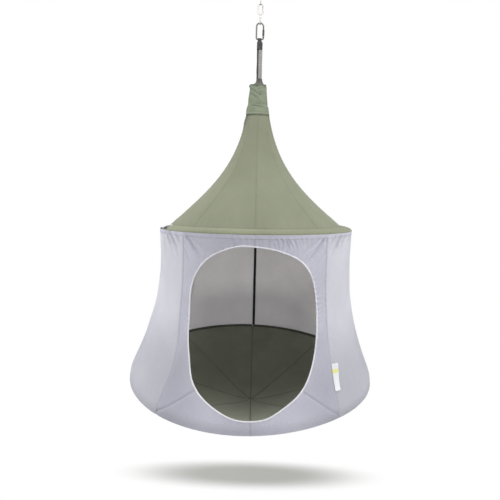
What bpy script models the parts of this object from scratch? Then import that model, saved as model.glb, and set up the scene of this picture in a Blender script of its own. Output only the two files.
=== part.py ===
"""Hanging pod tent: a ceiling swivel, a short chain, a locking carabiner and a cloth pod.

The cloth pod is a cone roof over a waisted wall, spread by a thin eave pole and a floor hoop.
Metres, +Z up. The origin is the ceiling face of the mounting plate, and the door faces -Y.
Heights of the pod itself are given above its floor hoop, and azimuths in degrees from the door.
"""

import math

import bmesh
import bpy
from mathutils import Vector

# Clearance between two pieces that touch, and the sides given to round bars and to thin wire.
GAP = 0.0003
ROUND_SIDES = 16
WIRE_SIDES = 8

# Ceiling plate and swivel.
PLATE_THICKNESS = 0.006
PLATE_MARGIN = 0.014
PLATE_HOLE_RADIUS = 0.0042
PLATE_HOLE_STANDOFF = 0.015
CUP_RADIUS = 0.026
CUP_HEIGHT = 0.030
CUP_WALL = 0.004
BEARING_RADIUS = 0.0135
BEARING_HEIGHT = 0.0085
HEAD_RADIUS = 0.012
HEAD_HEIGHT = 0.006
SHANK_RADIUS = 0.005
SHANK_CLEARANCE = 0.0006
EYE_STANDOFF = 0.030
EYE_RADIUS = 0.016
EYE_WIRE_RADIUS = 0.004

# Chain: welded links, measured on the wire's centre line. The carabiner's rod passes inside one.
LINK_COUNT = 4
LINK_WIRE_RADIUS = 0.004
LINK_SPARE = 0.0055
LINK_RISE = 0.072

# Locking carabiner, measured on the rod's centre line from its bottom bar.
ROD_RADIUS = 0.005
CARABINER_CORNER = 0.009
HINGE_STEM = 0.0028
HINGE_DISC_RADIUS = 0.0062
NOSE_LENGTH = 0.0129
TONGUE_THICKNESS = 0.004
GATE_LENGTH = 0.052
GATE_RADIUS = 0.0048
PIVOT_RADIUS = 0.0015
LOCK_LENGTH = 0.038
LOCK_WALL = 0.0015
SPRING_WIRE_RADIUS = 0.0004
SPRING_RADIUS = 0.0018
SPRING_LENGTH = 0.015
SPRING_TURNS = 4

# Sling: a black webbing over the carabiner, a grey webbing under the gather ring, and a keeper.
WEBBING = 0.0025
BLACK_WEBBING_WIDTH = 0.025
BLACK_WEBBING_SHIFT = -0.0005
GREY_WEBBING_WIDTH = 0.020
GREY_WEBBING_SHIFT = 0.006
GREY_TOP_DROP = 0.040
KEEPER_DROP = 0.022
KEEPER_LENGTH = 0.056
KEEPER_WALL = 0.0015
SLING_DROP = 0.301

# Gather ring inside the collar, long and flat sided, and the three load straps that hang on it.
RING_WIRE_RADIUS = 0.004
RING_RISE = 0.036
RING_CORNER = 0.0065
RING_BELOW_COLLAR = 0.015
STRAP_WIDTH = 0.020
STRAP_SPACING = 0.001
STRAP_THICKNESS = 0.002
STRAP_TAIL = 0.022
STRAP_PLACES = {"left": (-85.0, -1), "back": (180.0, 0), "right": (85.0, 1)}

# Cloth shell. Heights run up from the hoop: the wall, the brim, the hollow roof and the collar.
CLOTH = 0.002
SIDE_SEAM = 85.0
REAR_SEAM = 132.0
GORE_STEPS = 4
WALL_HEIGHT = 0.880
EAVE_RADIUS = 0.604
WAIST_RADIUS = 0.5955
WAIST_DROP = 0.200
BRIM_WIDTH = 0.068
BRIM_RISE = 0.025
ROOF_HEIGHT = 0.735
ROOF_TOP_RADIUS = 0.0745
ROOF_FOOT_HANDLE = (0.567, 0.333)
ROOF_NECK_HANDLE = (0.128, 0.476)
ROOF_STEPS = 8
COLLAR_LAP = 0.028
COLLAR_LENGTH = 0.203
COLLAR_TOP_RADIUS = 0.0585
COLLAR_CONE_HEIGHT = 0.042
COLLAR_CONE_WIDTH = 0.013
WALL_STEPS_BELOW_WAIST = 7
WALL_POWER = 2.05
SKIRT_TOP = 0.0305
SKIRT_DROP = 0.006

# Eave pole: one springy rod whose ends meet in a ferrule, bare where the brim is scalloped.
EAVE_POLE_RADIUS = 0.0055
EAVE_FERRULE_RADIUS = 0.0072
EAVE_FERRULE_ARC = 4.0
EAVE_TUNNEL_WALL = 0.0015
EAVE_POLE_DROP = 0.0025
SCALLOP_ARC = 32.0
SCALLOP_DEPTH = 0.054

# Floor hoop: three tubes joined by plug-in spigots, inside a sewn sleeve.
HOOP_RADIUS = 0.732
HOOP_TUBE_RADIUS = 0.0125
HOOP_TUBE_WALL = 0.0018
HOOP_SLEEVE_WALL = 0.002
SPIGOT_ARC = 4.0
SLEEVE_OPENING_ARC = 3.0

# Floor: gores that sag towards the middle.
FLOOR_SAG = 0.225
FLOOR_ROUNDING = 0.12
FLOOR_STEPS = 5
FLOOR_TIP_RADIUS = 0.004

# Door: an egg-like outline, with a binding on its edge and a sill panel below it.
DOOR_HALF_WIDTH = 0.331
DOOR_JAMB = 0.0397
DOOR_HEAD_DROP = 0.053
DOOR_SILL = 0.057
DOOR_WIDEST = 0.470
DOOR_POWER = 2.8
DOOR_POINTS = 40
BINDING_WIDTH = 0.007
BINDING_PROUD = 0.001
SILL_CORNER_HEIGHT = 0.010
SILL_APEX_HEIGHT = 0.333

# Care tag, blank, sewn into the right door seam.
TAG_WIDTH = 0.028
TAG_THICKNESS = 0.001
TAG_TOP = 0.238
TAG_LENGTH = 0.124

# The plate takes its screws outside the cup, and the links take the carabiner's rod.
PLATE_HOLE_CIRCLE = CUP_RADIUS + PLATE_HOLE_STANDOFF
PLATE_RADIUS = PLATE_HOLE_CIRCLE + PLATE_MARGIN
LINK_HALF_WIDTH = ROD_RADIUS + LINK_SPARE + LINK_WIRE_RADIUS

# The carabiner is as wide as its webbing needs, and as tall as its gate.
BAR_HALF_FLAT = BLACK_WEBBING_WIDTH / 2 + abs(BLACK_WEBBING_SHIFT) + 2 * GAP
CARABINER_HALF_WIDTH = BAR_HALF_FLAT + CARABINER_CORNER
HINGE_HEIGHT = CARABINER_CORNER + HINGE_STEM + HINGE_DISC_RADIUS
CARABINER_RISE = HINGE_HEIGHT + GATE_LENGTH + GAP + NOSE_LENGTH + CARABINER_HALF_WIDTH

# The shell, from the door's seams to the top of the collar.
DOOR_SEAM = math.degrees(math.asin((DOOR_HALF_WIDTH + DOOR_JAMB) / WAIST_RADIUS))
SEAMS = (0.0, DOOR_SEAM, SIDE_SEAM, REAR_SEAM, 180.0)
HALF_STEP = math.radians(max(b - a for a, b in zip(SEAMS, SEAMS[1:])) / GORE_STEPS / 2)
BRIM_RADIUS = EAVE_RADIUS - BRIM_WIDTH
BRIM_HEIGHT = WALL_HEIGHT + BRIM_RISE
WAIST_HEIGHT = WALL_HEIGHT - WAIST_DROP
ROOF_TOP_HEIGHT = BRIM_HEIGHT + ROOF_HEIGHT
COLLAR_HEM_HEIGHT = ROOF_TOP_HEIGHT - COLLAR_LAP
COLLAR_TOP_HEIGHT = COLLAR_HEM_HEIGHT + COLLAR_LENGTH
RING_TOP_HEIGHT = COLLAR_TOP_HEIGHT - RING_BELOW_COLLAR
DOOR_TOP = WALL_HEIGHT - DOOR_HEAD_DROP

# Heights that follow from the sizes above, measured down from the ceiling.
CUP_TOP = -PLATE_THICKNESS - GAP
CUP_BOTTOM = CUP_TOP - CUP_HEIGHT
BEARING_BASE = CUP_BOTTOM + CUP_WALL + GAP
HEAD_BASE = BEARING_BASE + BEARING_HEIGHT + GAP
EYE_CENTRE = CUP_BOTTOM - EYE_STANDOFF - EYE_WIRE_RADIUS - EYE_RADIUS
EYE_BOTTOM = EYE_CENTRE - EYE_RADIUS
FIRST_LINK_BOTTOM = EYE_BOTTOM + EYE_WIRE_RADIUS + LINK_WIRE_RADIUS + GAP - LINK_RISE
LINK_PITCH = LINK_RISE - 2 * LINK_WIRE_RADIUS - GAP
LAST_LINK_BOTTOM = FIRST_LINK_BOTTOM - (LINK_COUNT - 1) * LINK_PITCH
BAR_HEIGHT = LAST_LINK_BOTTOM + LINK_WIRE_RADIUS + ROD_RADIUS + GAP - CARABINER_RISE
HOOP_HEIGHT = BAR_HEIGHT - SLING_DROP - COLLAR_TOP_HEIGHT

# Sizes that follow from the hoop, its sleeve and the cloth.
SLEEVE_BORE = HOOP_TUBE_RADIUS + GAP
SLEEVE_RADIUS = SLEEVE_BORE + HOOP_SLEEVE_WALL
SKIRT_RADIUS = HOOP_RADIUS + SLEEVE_RADIUS + GAP + CLOTH
FLOOR_RIM_RADIUS = HOOP_RADIUS - SLEEVE_RADIUS - GAP
TUNNEL_BORE = EAVE_POLE_RADIUS + GAP
TUNNEL_RADIUS = TUNNEL_BORE + EAVE_TUNNEL_WALL
EAVE_POLE_CENTRE = EAVE_RADIUS - CLOTH - GAP - TUNNEL_RADIUS
EAVE_POLE_HEIGHT = WALL_HEIGHT - EAVE_POLE_DROP

# Colour, roughness and metallic value of each material.
FINISHES = {
    "galvanised steel": ((0.62, 0.63, 0.64), 0.38, 1.0),
    "bearing steel": ((0.52, 0.52, 0.53), 0.25, 1.0),
    "polished alloy": ((0.74, 0.74, 0.75), 0.25, 1.0),
    "black anodised alloy": ((0.06, 0.06, 0.06), 0.40, 0.6),
    "spring steel": ((0.45, 0.45, 0.46), 0.35, 1.0),
    "grey webbing": ((0.27, 0.27, 0.26), 0.85, 0.0),
    "black webbing": ((0.02, 0.02, 0.02), 0.85, 0.0),
    "olive roof cloth": ((0.27, 0.29, 0.20), 0.75, 0.0),
    "pale wall cloth": ((0.50, 0.51, 0.58), 0.75, 0.0),
    "dark floor cloth": ((0.13, 0.14, 0.10), 0.80, 0.0),
    "white binding": ((0.75, 0.75, 0.76), 0.70, 0.0),
    "black fibreglass": ((0.02, 0.02, 0.02), 0.35, 0.0),
    "white label tape": ((0.80, 0.80, 0.78), 0.65, 0.0),
}


AXIS_X = Vector((1, 0, 0))
AXIS_Y = Vector((0, 1, 0))
AXIS_Z = Vector((0, 0, 1))


def clear_scene():
    """Remove every object that the file holds."""
    for item in list(bpy.data.objects):
        bpy.data.objects.remove(item, do_unlink=True)


def finish(name):
    """The named material, made the first time it is asked for."""
    material = bpy.data.materials.get(name)
    if material is None:
        colour, roughness, metallic = FINISHES[name]
        material = bpy.data.materials.new(name)
        material.use_nodes = True
        surface = material.node_tree.nodes["Principled BSDF"]
        surface.inputs["Base Color"].default_value = (*colour, 1.0)
        surface.inputs["Roughness"].default_value = roughness
        surface.inputs["Metallic"].default_value = metallic
        material.diffuse_color = (*colour, 1.0)
    return material


def empty(name, location, parent=None):
    """An axis or a frame that pieces are parented to, placed in world coordinates."""
    item = bpy.data.objects.new(name, None)
    item.empty_display_size = 0.02
    bpy.context.scene.collection.objects.link(item)
    parent_location = parent.matrix_world.translation if parent else Vector()
    item.parent = parent
    item.location = Vector(location) - parent_location
    bpy.context.view_layer.update()
    return item


def solid(name, vertices, faces, material, parent, frame=None):
    """One closed piece. Its points are in the world, or above the given frame's origin."""
    mesh = bpy.data.meshes.new(name)
    mesh.from_pydata([tuple(vertex) for vertex in vertices], [], faces)
    shape = bmesh.new()
    shape.from_mesh(mesh)
    bmesh.ops.recalc_face_normals(shape, faces=shape.faces)
    shape.to_mesh(mesh)
    shape.free()
    mesh.materials.append(finish(material))
    mesh.shade_smooth()
    mesh.set_sharp_from_angle(angle=math.radians(35))
    item = bpy.data.objects.new(name, mesh)
    bpy.context.scene.collection.objects.link(item)
    item.parent = parent
    start = frame if frame is not None else Vector()
    item.location = start - parent.matrix_world.translation
    return item


def cutter(name, vertices, faces, parent, frame=None):
    """A guide solid that only cuts others."""
    item = solid(name, vertices, faces, "spring steel", parent, frame)
    item.hide_render = True
    item.display_type = "WIRE"
    return item


def combine(target, other, operation):
    """A Boolean on the target, kept as a modifier."""
    modifier = target.modifiers.new(other.name, "BOOLEAN")
    modifier.operation = operation
    modifier.object = other
    modifier.solver = "EXACT"
    return target


def ring_of(centre, first, second, radius, sides):
    """Points of a polygon about a centre, in the plane of two unit vectors."""
    points = []
    for index in range(sides):
        angle = 2 * math.pi * (index + 0.5) / sides
        points.append(centre + radius * (math.cos(angle) * first + math.sin(angle) * second))
    return points


def loft(stations, closed=False, strip=False):
    """Faces over equal sections, with flat ends, or with ends made as a strip of quads."""
    count = len(stations[0])
    vertices = [point for station in stations for point in station]
    faces = []
    spans = len(stations) if closed else len(stations) - 1
    for row in range(spans):
        here, there = row * count, ((row + 1) % len(stations)) * count
        for index in range(count):
            after = (index + 1) % count
            faces.append((here + index, here + after, there + after, there + index))
    if not closed:
        for base in (0, (len(stations) - 1) * count):
            if strip:
                for index in range(count // 2 - 1):
                    back = count - 1 - index
                    faces.append((base + index, base + index + 1, base + back - 1, base + back))
            else:
                faces.append(tuple(base + index for index in range(count)))
    return vertices, faces


def hollow_loft(outer, inner):
    """A tube's faces: equal outer and inner sections, joined by a rim at each end."""
    count = len(outer[0])
    rows = len(outer)
    vertices = [point for station in outer + inner for point in station]
    faces = []
    for layer in (0, rows * count):
        for row in range(rows - 1):
            here, there = layer + row * count, layer + (row + 1) * count
            for index in range(count):
                after = (index + 1) % count
                faces.append((here + index, here + after, there + after, there + index))
    for base in (0, (rows - 1) * count):
        for index in range(count):
            after = (index + 1) % count
            inside = base + rows * count
            faces.append((base + index, base + after, inside + after, inside + index))
    return vertices, faces


def path_directions(path, closed):
    """Unit direction of travel at each point of a path."""
    last = len(path) - 1
    directions = []
    for index, point in enumerate(path):
        before = path[index - 1] if index > 0 or closed else point
        after = path[(index + 1) % len(path)] if index < last or closed else point
        arriving = (point - before).normalized()
        leaving = (after - point).normalized()
        directions.append((arriving + leaving).normalized())
    return directions


def wire_stations(path, side, radius, sides, closed):
    """Round sections along a flat path whose plane has the given normal."""
    stations = []
    for point, direction in zip(path, path_directions(path, closed)):
        across = side.cross(direction).normalized()
        stations.append(ring_of(point, side, across, radius, sides))
    return stations


def turned(profile, sides=ROUND_SIDES):
    """A closed (radius, height) outline turned about Z."""
    stations = []
    for index in range(sides):
        angle = 2 * math.pi * (index + 0.5) / sides
        stations.append([Vector((r * math.cos(angle), r * math.sin(angle), z)) for r, z in profile])
    return loft(stations, closed=True)


def rod(start, end, radius, sides=ROUND_SIDES):
    """A straight round bar between two points, at right angles to X."""
    second = (end - start).normalized().cross(AXIS_X)
    return loft([ring_of(point, AXIS_X, second, radius, sides) for point in (start, end)])


def block(low, high):
    """A box between two corners."""
    corners = [(low[0], low[1]), (high[0], low[1]), (high[0], high[1]), (low[0], high[1])]
    return loft([[Vector((x, y, z)) for x, y in corners] for z in (low[2], high[2])])


def arc(centre, radius, start, end, steps, first, second):
    """Points on an arc, with angles in degrees from the first vector towards the second."""
    points = []
    for index in range(steps + 1):
        angle = math.radians(start + (end - start) * index / steps)
        points.append(centre + radius * (math.cos(angle) * first + math.sin(angle) * second))
    return points


def ribbon(path, widths, thickness):
    """A flat strap along a path: one rectangle at each point, mitred at the bends."""
    stations = []
    last = len(path) - 1
    for index, direction in enumerate(path_directions(path, False)):
        across = widths[index]
        normal = direction.cross(across).normalized()
        toward = path[index + 1] - path[index] if index < last else path[index] - path[index - 1]
        stretch = max(direction.dot(toward.normalized()), 0.5)
        half = normal * (thickness / 2 / stretch)
        point = path[index]
        stations.append([point - across + half, point + across + half,
                         point + across - half, point - across - half])
    return loft(stations)


# Ring stations, shared by every piece that runs round the pod, so that their flats line up.

def seam_azimuths():
    """All seams round the pod, from the back, past the left side and the door, to the back."""
    return sorted({-seam for seam in SEAMS} | set(SEAMS))


def gore_azimuths(start, end):
    """The stations of one gore."""
    return [start + (end - start) * step / GORE_STEPS for step in range(GORE_STEPS + 1)]


def ring_stations():
    """Every station once, from -180 up to but not including 180."""
    seams = seam_azimuths()
    stations = []
    for start, end in zip(seams, seams[1:]):
        stations += gore_azimuths(start, end)[:-1]
    return stations


RING = ring_stations()


def chord_share(azimuth):
    """How far in a point between two stations lies, as a share of the radius there."""
    turned_azimuth = (azimuth + 180) % 360 - 180
    for low, high in zip(RING, RING[1:] + [180.0]):
        if low <= turned_azimuth <= high:
            half = math.radians(high - low) / 2
            return math.cos(half) / math.cos(math.radians(turned_azimuth - (low + high) / 2))
    return 1.0


def ring_point(azimuth, radius, height):
    """A point on the polygon round the pod."""
    angle = math.radians(azimuth)
    reach = radius * chord_share(azimuth)
    return Vector((reach * math.sin(angle), -reach * math.cos(angle), height))


def azimuths_between(start, end):
    """The start, every station between, and the end. The end may lie past 180."""
    inside = [station + 360 * turn for turn in (-1, 0, 1) for station in RING]
    margin = 0.01
    return [start] + sorted(a for a in inside if start + margin < a < end - margin) + [end]


# Profiles are lists of (radius, height), running down the outside of the shell.

def inset(profile, distance):
    """The profile moved towards the inside of the pod, mitred at its corners."""
    normals = []
    for (r1, z1), (r2, z2) in zip(profile, profile[1:]):
        length = math.hypot(r2 - r1, z2 - z1)
        normals.append(((z2 - z1) / length, (r1 - r2) / length))
    moved = []
    for index, (radius, height) in enumerate(profile):
        first = normals[max(index - 1, 0)]
        second = normals[min(index, len(normals) - 1)]
        share = distance / (1 + first[0] * second[0] + first[1] * second[1])
        moved.append((radius + share * (first[0] + second[0]), height + share * (first[1] + second[1])))
    return moved


def trimmed(profile, distance):
    """The profile with both ends drawn in."""
    points = [Vector(point) for point in profile]
    points[0] = points[0] + (points[1] - points[0]).normalized() * distance
    points[-1] = points[-1] + (points[-2] - points[-1]).normalized() * distance
    return [tuple(point) for point in points]


def radius_at(profile, height):
    """The radius where a falling profile passes a height."""
    for (r1, z1), (r2, z2) in zip(profile, profile[1:]):
        if z1 >= height >= z2 and z1 > z2:
            return r1 + (r2 - r1) * (z1 - height) / (z1 - z2)
    return profile[-1][0]


def bezier(points, share):
    """A point on a cubic curve."""
    rest = 1 - share
    weights = (rest ** 3, 3 * rest ** 2 * share, 3 * rest * share ** 2, share ** 3)
    return tuple(sum(w * p[axis] for w, p in zip(weights, points)) for axis in (0, 1))


def roof_profile():
    """The roof's hollow cone, from its neck to the brim, as a curve with a handle at each end."""
    run = BRIM_RADIUS - ROOF_TOP_RADIUS
    neck_out, neck_down = ROOF_NECK_HANDLE
    foot_in, foot_up = ROOF_FOOT_HANDLE
    control = [
        (ROOF_TOP_RADIUS, ROOF_TOP_HEIGHT),
        (ROOF_TOP_RADIUS + neck_out * run, ROOF_TOP_HEIGHT - neck_down * ROOF_HEIGHT),
        (BRIM_RADIUS - foot_in * run, BRIM_HEIGHT + foot_up * ROOF_HEIGHT),
        (BRIM_RADIUS, BRIM_HEIGHT),
    ]
    return [bezier(control, step / ROOF_STEPS) for step in range(ROOF_STEPS + 1)]


def brim_profile():
    """The brim: nearly flat, then a shoulder that falls to the eave."""
    points = []
    for out, up in ((0.53, 0.86), (0.79, 0.60), (0.95, 0.30), (1.0, 0.0)):
        points.append((BRIM_RADIUS + out * BRIM_WIDTH, WALL_HEIGHT + up * BRIM_RISE))
    return points


def wall_profile():
    """The waisted wall below the eave, down to the skirt outside the hoop."""
    points = []
    for share in (0.35, 0.7):
        height = WALL_HEIGHT + (WAIST_HEIGHT - WALL_HEIGHT) * share
        rise = (height - WAIST_HEIGHT) / (WALL_HEIGHT - WAIST_HEIGHT)
        points.append((WAIST_RADIUS + (EAVE_RADIUS - WAIST_RADIUS) * rise ** 2, height))
    for step in range(WALL_STEPS_BELOW_WAIST + 1):
        fall = step / WALL_STEPS_BELOW_WAIST
        height = WAIST_HEIGHT + (SKIRT_TOP - WAIST_HEIGHT) * fall
        points.append((WAIST_RADIUS + (SKIRT_RADIUS - WAIST_RADIUS) * fall ** WALL_POWER, height))
    points.append((SKIRT_RADIUS, -SKIRT_DROP))
    return points


ROOF = roof_profile()
BRIM = brim_profile()
WALL = wall_profile()
SHELL = ROOF + BRIM + WALL
SHELL_INSIDE = inset(SHELL, CLOTH)
BRIM_START = len(ROOF) - 1
WALL_START = BRIM_START + len(BRIM)


def shell_slice(start, end):
    """The outer and inner profiles of part of the shell, drawn in for a seam at each end."""
    outer = trimmed(SHELL[start:end + 1], GAP / 2)
    inner = trimmed(SHELL_INSIDE[start:end + 1], GAP / 2)
    return outer, inner


def panel_stations(outer, inner, azimuths):
    """Sections of a cloth panel, its two side edges drawn in for the seams."""
    section = list(outer) + list(reversed(inner))
    stations = [[ring_point(azimuth, r, z) for r, z in section] for azimuth in azimuths]
    for edge, beside in ((0, 1), (-1, -2)):
        drawn = []
        for point, neighbour in zip(stations[edge], stations[beside]):
            drawn.append(point + (neighbour - point).normalized() * (GAP / 2))
        stations[edge] = drawn
    return stations


def panel(name, outer, inner, azimuths, material, pod):
    """One sewn cloth panel."""
    vertices, faces = loft(panel_stations(outer, inner, azimuths), strip=True)
    return solid(name, vertices, faces, material, pod["body"], pod["frame"])


def hoop_section(centre_radius, centre_height, radius, azimuth, sides=WIRE_SIDES):
    """A small polygon round a hoop's centre line, in the plane of one azimuth."""
    points = []
    for index in range(sides):
        angle = 2 * math.pi * index / sides
        points.append(ring_point(azimuth, centre_radius + radius * math.cos(angle),
                                 centre_height + radius * math.sin(angle)))
    return points


def hoop_tube(name, line, radii, azimuths, material, pod):
    """A tube that follows a hoop's centre line (radius, height) from one azimuth to another."""
    outer, inner = radii
    outside = [hoop_section(line[0], line[1], outer, azimuth) for azimuth in azimuths]
    if inner is None:
        vertices, faces = loft(outside)
    else:
        inside = [hoop_section(line[0], line[1], inner, azimuth) for azimuth in azimuths]
        vertices, faces = hollow_loft(outside, inside)
    return solid(name, vertices, faces, material, pod["body"], pod["frame"])


def gore_names(base):
    """Each gore's name, first and last azimuth, from the back round by the left."""
    places = ("back_left", "rear_left", "side_left", "front_left",
              "front_right", "side_right", "rear_right", "back_right")
    seams = seam_azimuths()
    return [(f"{base}_{place}", start, end) for place, start, end in zip(places, seams, seams[1:])]


# Ceiling fittings

def build_ceiling(ceiling):
    """The plate on the ceiling, the swivel cup below it, and the bearing in the cup."""
    plate = solid("ceiling_plate", *loft([
        ring_of(Vector((0, 0, z)), AXIS_X, AXIS_Y, PLATE_RADIUS, 2 * ROUND_SIDES)
        for z in (0, -PLATE_THICKNESS)]), "galvanised steel", ceiling)
    for index in range(4):
        angle = math.radians(45 + 90 * index)
        centre = Vector((math.cos(angle), math.sin(angle), 0)) * PLATE_HOLE_CIRCLE
        depth = AXIS_Z * 2 * PLATE_THICKNESS
        hole = cutter(f"plate_hole_{index + 1}",
                      *rod(centre - depth, centre + depth, PLATE_HOLE_RADIUS, 12), ceiling)
        combine(plate, hole, "DIFFERENCE")
    inner = CUP_RADIUS - CUP_WALL
    bore = SHANK_RADIUS + SHANK_CLEARANCE
    floor_top = CUP_BOTTOM + CUP_WALL
    chamfer = CUP_WALL / 2
    solid("swivel_cup", *turned([
        (CUP_RADIUS, CUP_TOP), (CUP_RADIUS, CUP_BOTTOM + chamfer), (CUP_RADIUS - chamfer, CUP_BOTTOM),
        (bore, CUP_BOTTOM), (bore, floor_top), (inner, floor_top), (inner, CUP_TOP)]),
        "galvanised steel", ceiling)
    third = BEARING_HEIGHT / 3
    waist = BEARING_RADIUS - third / 2
    solid("thrust_bearing", *turned([
        (BEARING_RADIUS, BEARING_BASE + BEARING_HEIGHT), (BEARING_RADIUS, BEARING_BASE + 2 * third),
        (waist, BEARING_BASE + 2 * third), (waist, BEARING_BASE + third),
        (BEARING_RADIUS, BEARING_BASE + third), (BEARING_RADIUS, BEARING_BASE),
        (bore, BEARING_BASE), (bore, BEARING_BASE + BEARING_HEIGHT)]),
        "bearing steel", ceiling)


def build_eye(eye):
    """The eye bolt: a head on the bearing, a shank through the cup, and the eye below it."""
    centre = Vector((0, 0, EYE_CENTRE))
    circle = arc(centre, EYE_RADIUS, 0, 360, 20, AXIS_Y, AXIS_Z)[:-1]
    bolt = solid("eye_bolt", *loft(wire_stations(circle, AXIS_X, EYE_WIRE_RADIUS, WIRE_SIDES, True),
                                   closed=True), "galvanised steel", eye)
    shank_end = EYE_CENTRE + EYE_RADIUS
    profile = [(SHANK_RADIUS, shank_end), (SHANK_RADIUS, HEAD_BASE), (HEAD_RADIUS, HEAD_BASE),
               (HEAD_RADIUS, HEAD_BASE + HEAD_HEIGHT)]
    stations = [ring_of(Vector((0, 0, z)), AXIS_X, AXIS_Y, r, ROUND_SIDES) for r, z in profile]
    shank = cutter("eye_shank", *loft(stations), eye)
    return combine(bolt, shank, "UNION")


def build_link(name, bottom, face_on, body):
    """One chain link. Every second link is turned a quarter turn."""
    across = AXIS_X if face_on else AXIS_Y
    side = AXIS_Y if face_on else AXIS_X
    low = Vector((0, 0, bottom + LINK_HALF_WIDTH))
    high = Vector((0, 0, bottom + LINK_RISE - LINK_HALF_WIDTH))
    path = arc(high, LINK_HALF_WIDTH, 0, 180, 8, across, AXIS_Z)
    path += arc(low, LINK_HALF_WIDTH, 180, 360, 8, across, AXIS_Z)
    stations = wire_stations(path, side, LINK_WIRE_RADIUS, WIRE_SIDES, True)
    return solid(name, *loft(stations, closed=True), "galvanised steel", body)


# Carabiner

def build_carabiner_frame(carabiner):
    """The rod, from the nose over the top, down the spine and round to the hinge tongue."""
    hinge = Vector((CARABINER_HALF_WIDTH, 0, BAR_HEIGHT + HINGE_HEIGHT))
    nose = hinge + AXIS_Z * (GATE_LENGTH + GAP)
    top_centre = Vector((0, 0, BAR_HEIGHT + CARABINER_RISE - CARABINER_HALF_WIDTH))
    flat = CARABINER_HALF_WIDTH - CARABINER_CORNER
    corner_height = BAR_HEIGHT + CARABINER_CORNER
    rod_end = hinge - AXIS_Z * (HINGE_DISC_RADIUS + 2 * GAP)
    path = [nose] + arc(top_centre, CARABINER_HALF_WIDTH, 0, 180, 12, AXIS_X, AXIS_Z)
    path += arc(Vector((-flat, 0, corner_height)), CARABINER_CORNER, 180, 270, 4, AXIS_X, AXIS_Z)
    path += arc(Vector((flat, 0, corner_height)), CARABINER_CORNER, 270, 360, 4, AXIS_X, AXIS_Z)
    path.append(rod_end)
    stations = wire_stations(path, AXIS_Y, ROD_RADIUS, 12, False)
    frame = solid("carabiner_frame", *loft(stations), "polished alloy", carabiner)
    half = AXIS_Y * (TONGUE_THICKNESS / 2)
    reach = HINGE_DISC_RADIUS * 0.7
    stem = cutter("tongue_stem", *block(
        (hinge.x - reach, -half.y, rod_end.z - ROD_RADIUS / 2), (hinge.x + reach, half.y, hinge.z)), carabiner)
    disc = cutter("tongue_disc", *rod(hinge - half, hinge + half, HINGE_DISC_RADIUS), carabiner)
    hole = cutter("tongue_hole", *rod(hinge - 3 * half, hinge + 3 * half, PIVOT_RADIUS + GAP, 8), carabiner)
    combine(frame, stem, "UNION")
    combine(frame, disc, "UNION")
    combine(frame, hole, "DIFFERENCE")


def build_gate(gate, carabiner, lock):
    """The gate with its forked foot, its pin, its spring and the sleeve that locks it."""
    hinge = Vector((CARABINER_HALF_WIDTH, 0, BAR_HEIGHT + HINGE_HEIGHT))
    top = hinge + AXIS_Z * GATE_LENGTH
    half_fork = AXIS_Y * ROD_RADIUS
    slot_half = TONGUE_THICKNESS / 2 + GAP
    slot_top = hinge.z + HINGE_DISC_RADIUS + 2 * GAP
    bar = solid("carabiner_gate", *rod(hinge, top, GATE_RADIUS), "black anodised alloy", gate)
    disc = cutter("fork_disc", *rod(hinge - half_fork, hinge + half_fork, HINGE_DISC_RADIUS), gate)
    slot = cutter("fork_slot", *block(
        (hinge.x - 2 * HINGE_DISC_RADIUS, -slot_half, hinge.z - 2 * HINGE_DISC_RADIUS),
        (hinge.x + 2 * HINGE_DISC_RADIUS, slot_half, slot_top)), gate)
    bore_top = Vector((hinge.x, 0, slot_top + SPRING_LENGTH + GAP))
    bore_radius = SPRING_RADIUS + SPRING_WIRE_RADIUS + GAP
    bore = cutter("spring_bore", *rod(hinge, bore_top, bore_radius, 12), gate)
    hole = cutter("fork_hole", *rod(hinge - 3 * half_fork, hinge + 3 * half_fork, PIVOT_RADIUS + GAP, 8), gate)
    combine(bar, disc, "UNION")
    combine(bar, slot, "DIFFERENCE")
    combine(bar, bore, "DIFFERENCE")
    combine(bar, hole, "DIFFERENCE")
    solid("gate_pivot_pin", *rod(hinge - half_fork, hinge + half_fork, PIVOT_RADIUS, 8),
          "bearing steel", carabiner)
    base = hinge.z + HINGE_DISC_RADIUS + GAP + SPRING_WIRE_RADIUS
    rise = SPRING_LENGTH - 2 * SPRING_WIRE_RADIUS
    steps = 8 * SPRING_TURNS
    coil = []
    for index in range(steps + 1):
        angle = 2 * math.pi * index / 8
        coil.append(Vector((hinge.x + SPRING_RADIUS * math.cos(angle), SPRING_RADIUS * math.sin(angle),
                            base + rise * index / steps)))
    sections = []
    for point, direction in zip(coil, path_directions(coil, False)):
        away = Vector((point.x - hinge.x, point.y, 0)).normalized()
        sections.append(ring_of(point, away, direction.cross(away).normalized(), SPRING_WIRE_RADIUS, 5))
    solid("gate_spring", *loft(sections), "spring steel", gate)
    lock_base = hinge + AXIS_Z * (HINGE_DISC_RADIUS + GAP)
    bore_of_lock = ROD_RADIUS + GAP
    ends = (lock_base, lock_base + AXIS_Z * LOCK_LENGTH)
    outside = [ring_of(end, AXIS_X, AXIS_Y, bore_of_lock + LOCK_WALL, ROUND_SIDES) for end in ends]
    inside = [ring_of(end, AXIS_X, AXIS_Y, bore_of_lock, ROUND_SIDES) for end in ends]
    solid("lock_sleeve", *hollow_loft(outside, inside), "black anodised alloy", lock)


# Sling, gather ring and load straps

def sling_depths():
    """How far each webbing's middle lies from the sling's own middle, front or back."""
    grey = RING_WIRE_RADIUS + GAP + WEBBING / 2
    black = grey - WEBBING - GAP
    return black, grey


def sling_edges():
    """The sling's left and right edges, over both webbings."""
    black, grey = BLACK_WEBBING_WIDTH / 2, GREY_WEBBING_WIDTH / 2
    low = min(BLACK_WEBBING_SHIFT - black, GREY_WEBBING_SHIFT - grey)
    return low, max(BLACK_WEBBING_SHIFT + black, GREY_WEBBING_SHIFT + grey)


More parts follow.
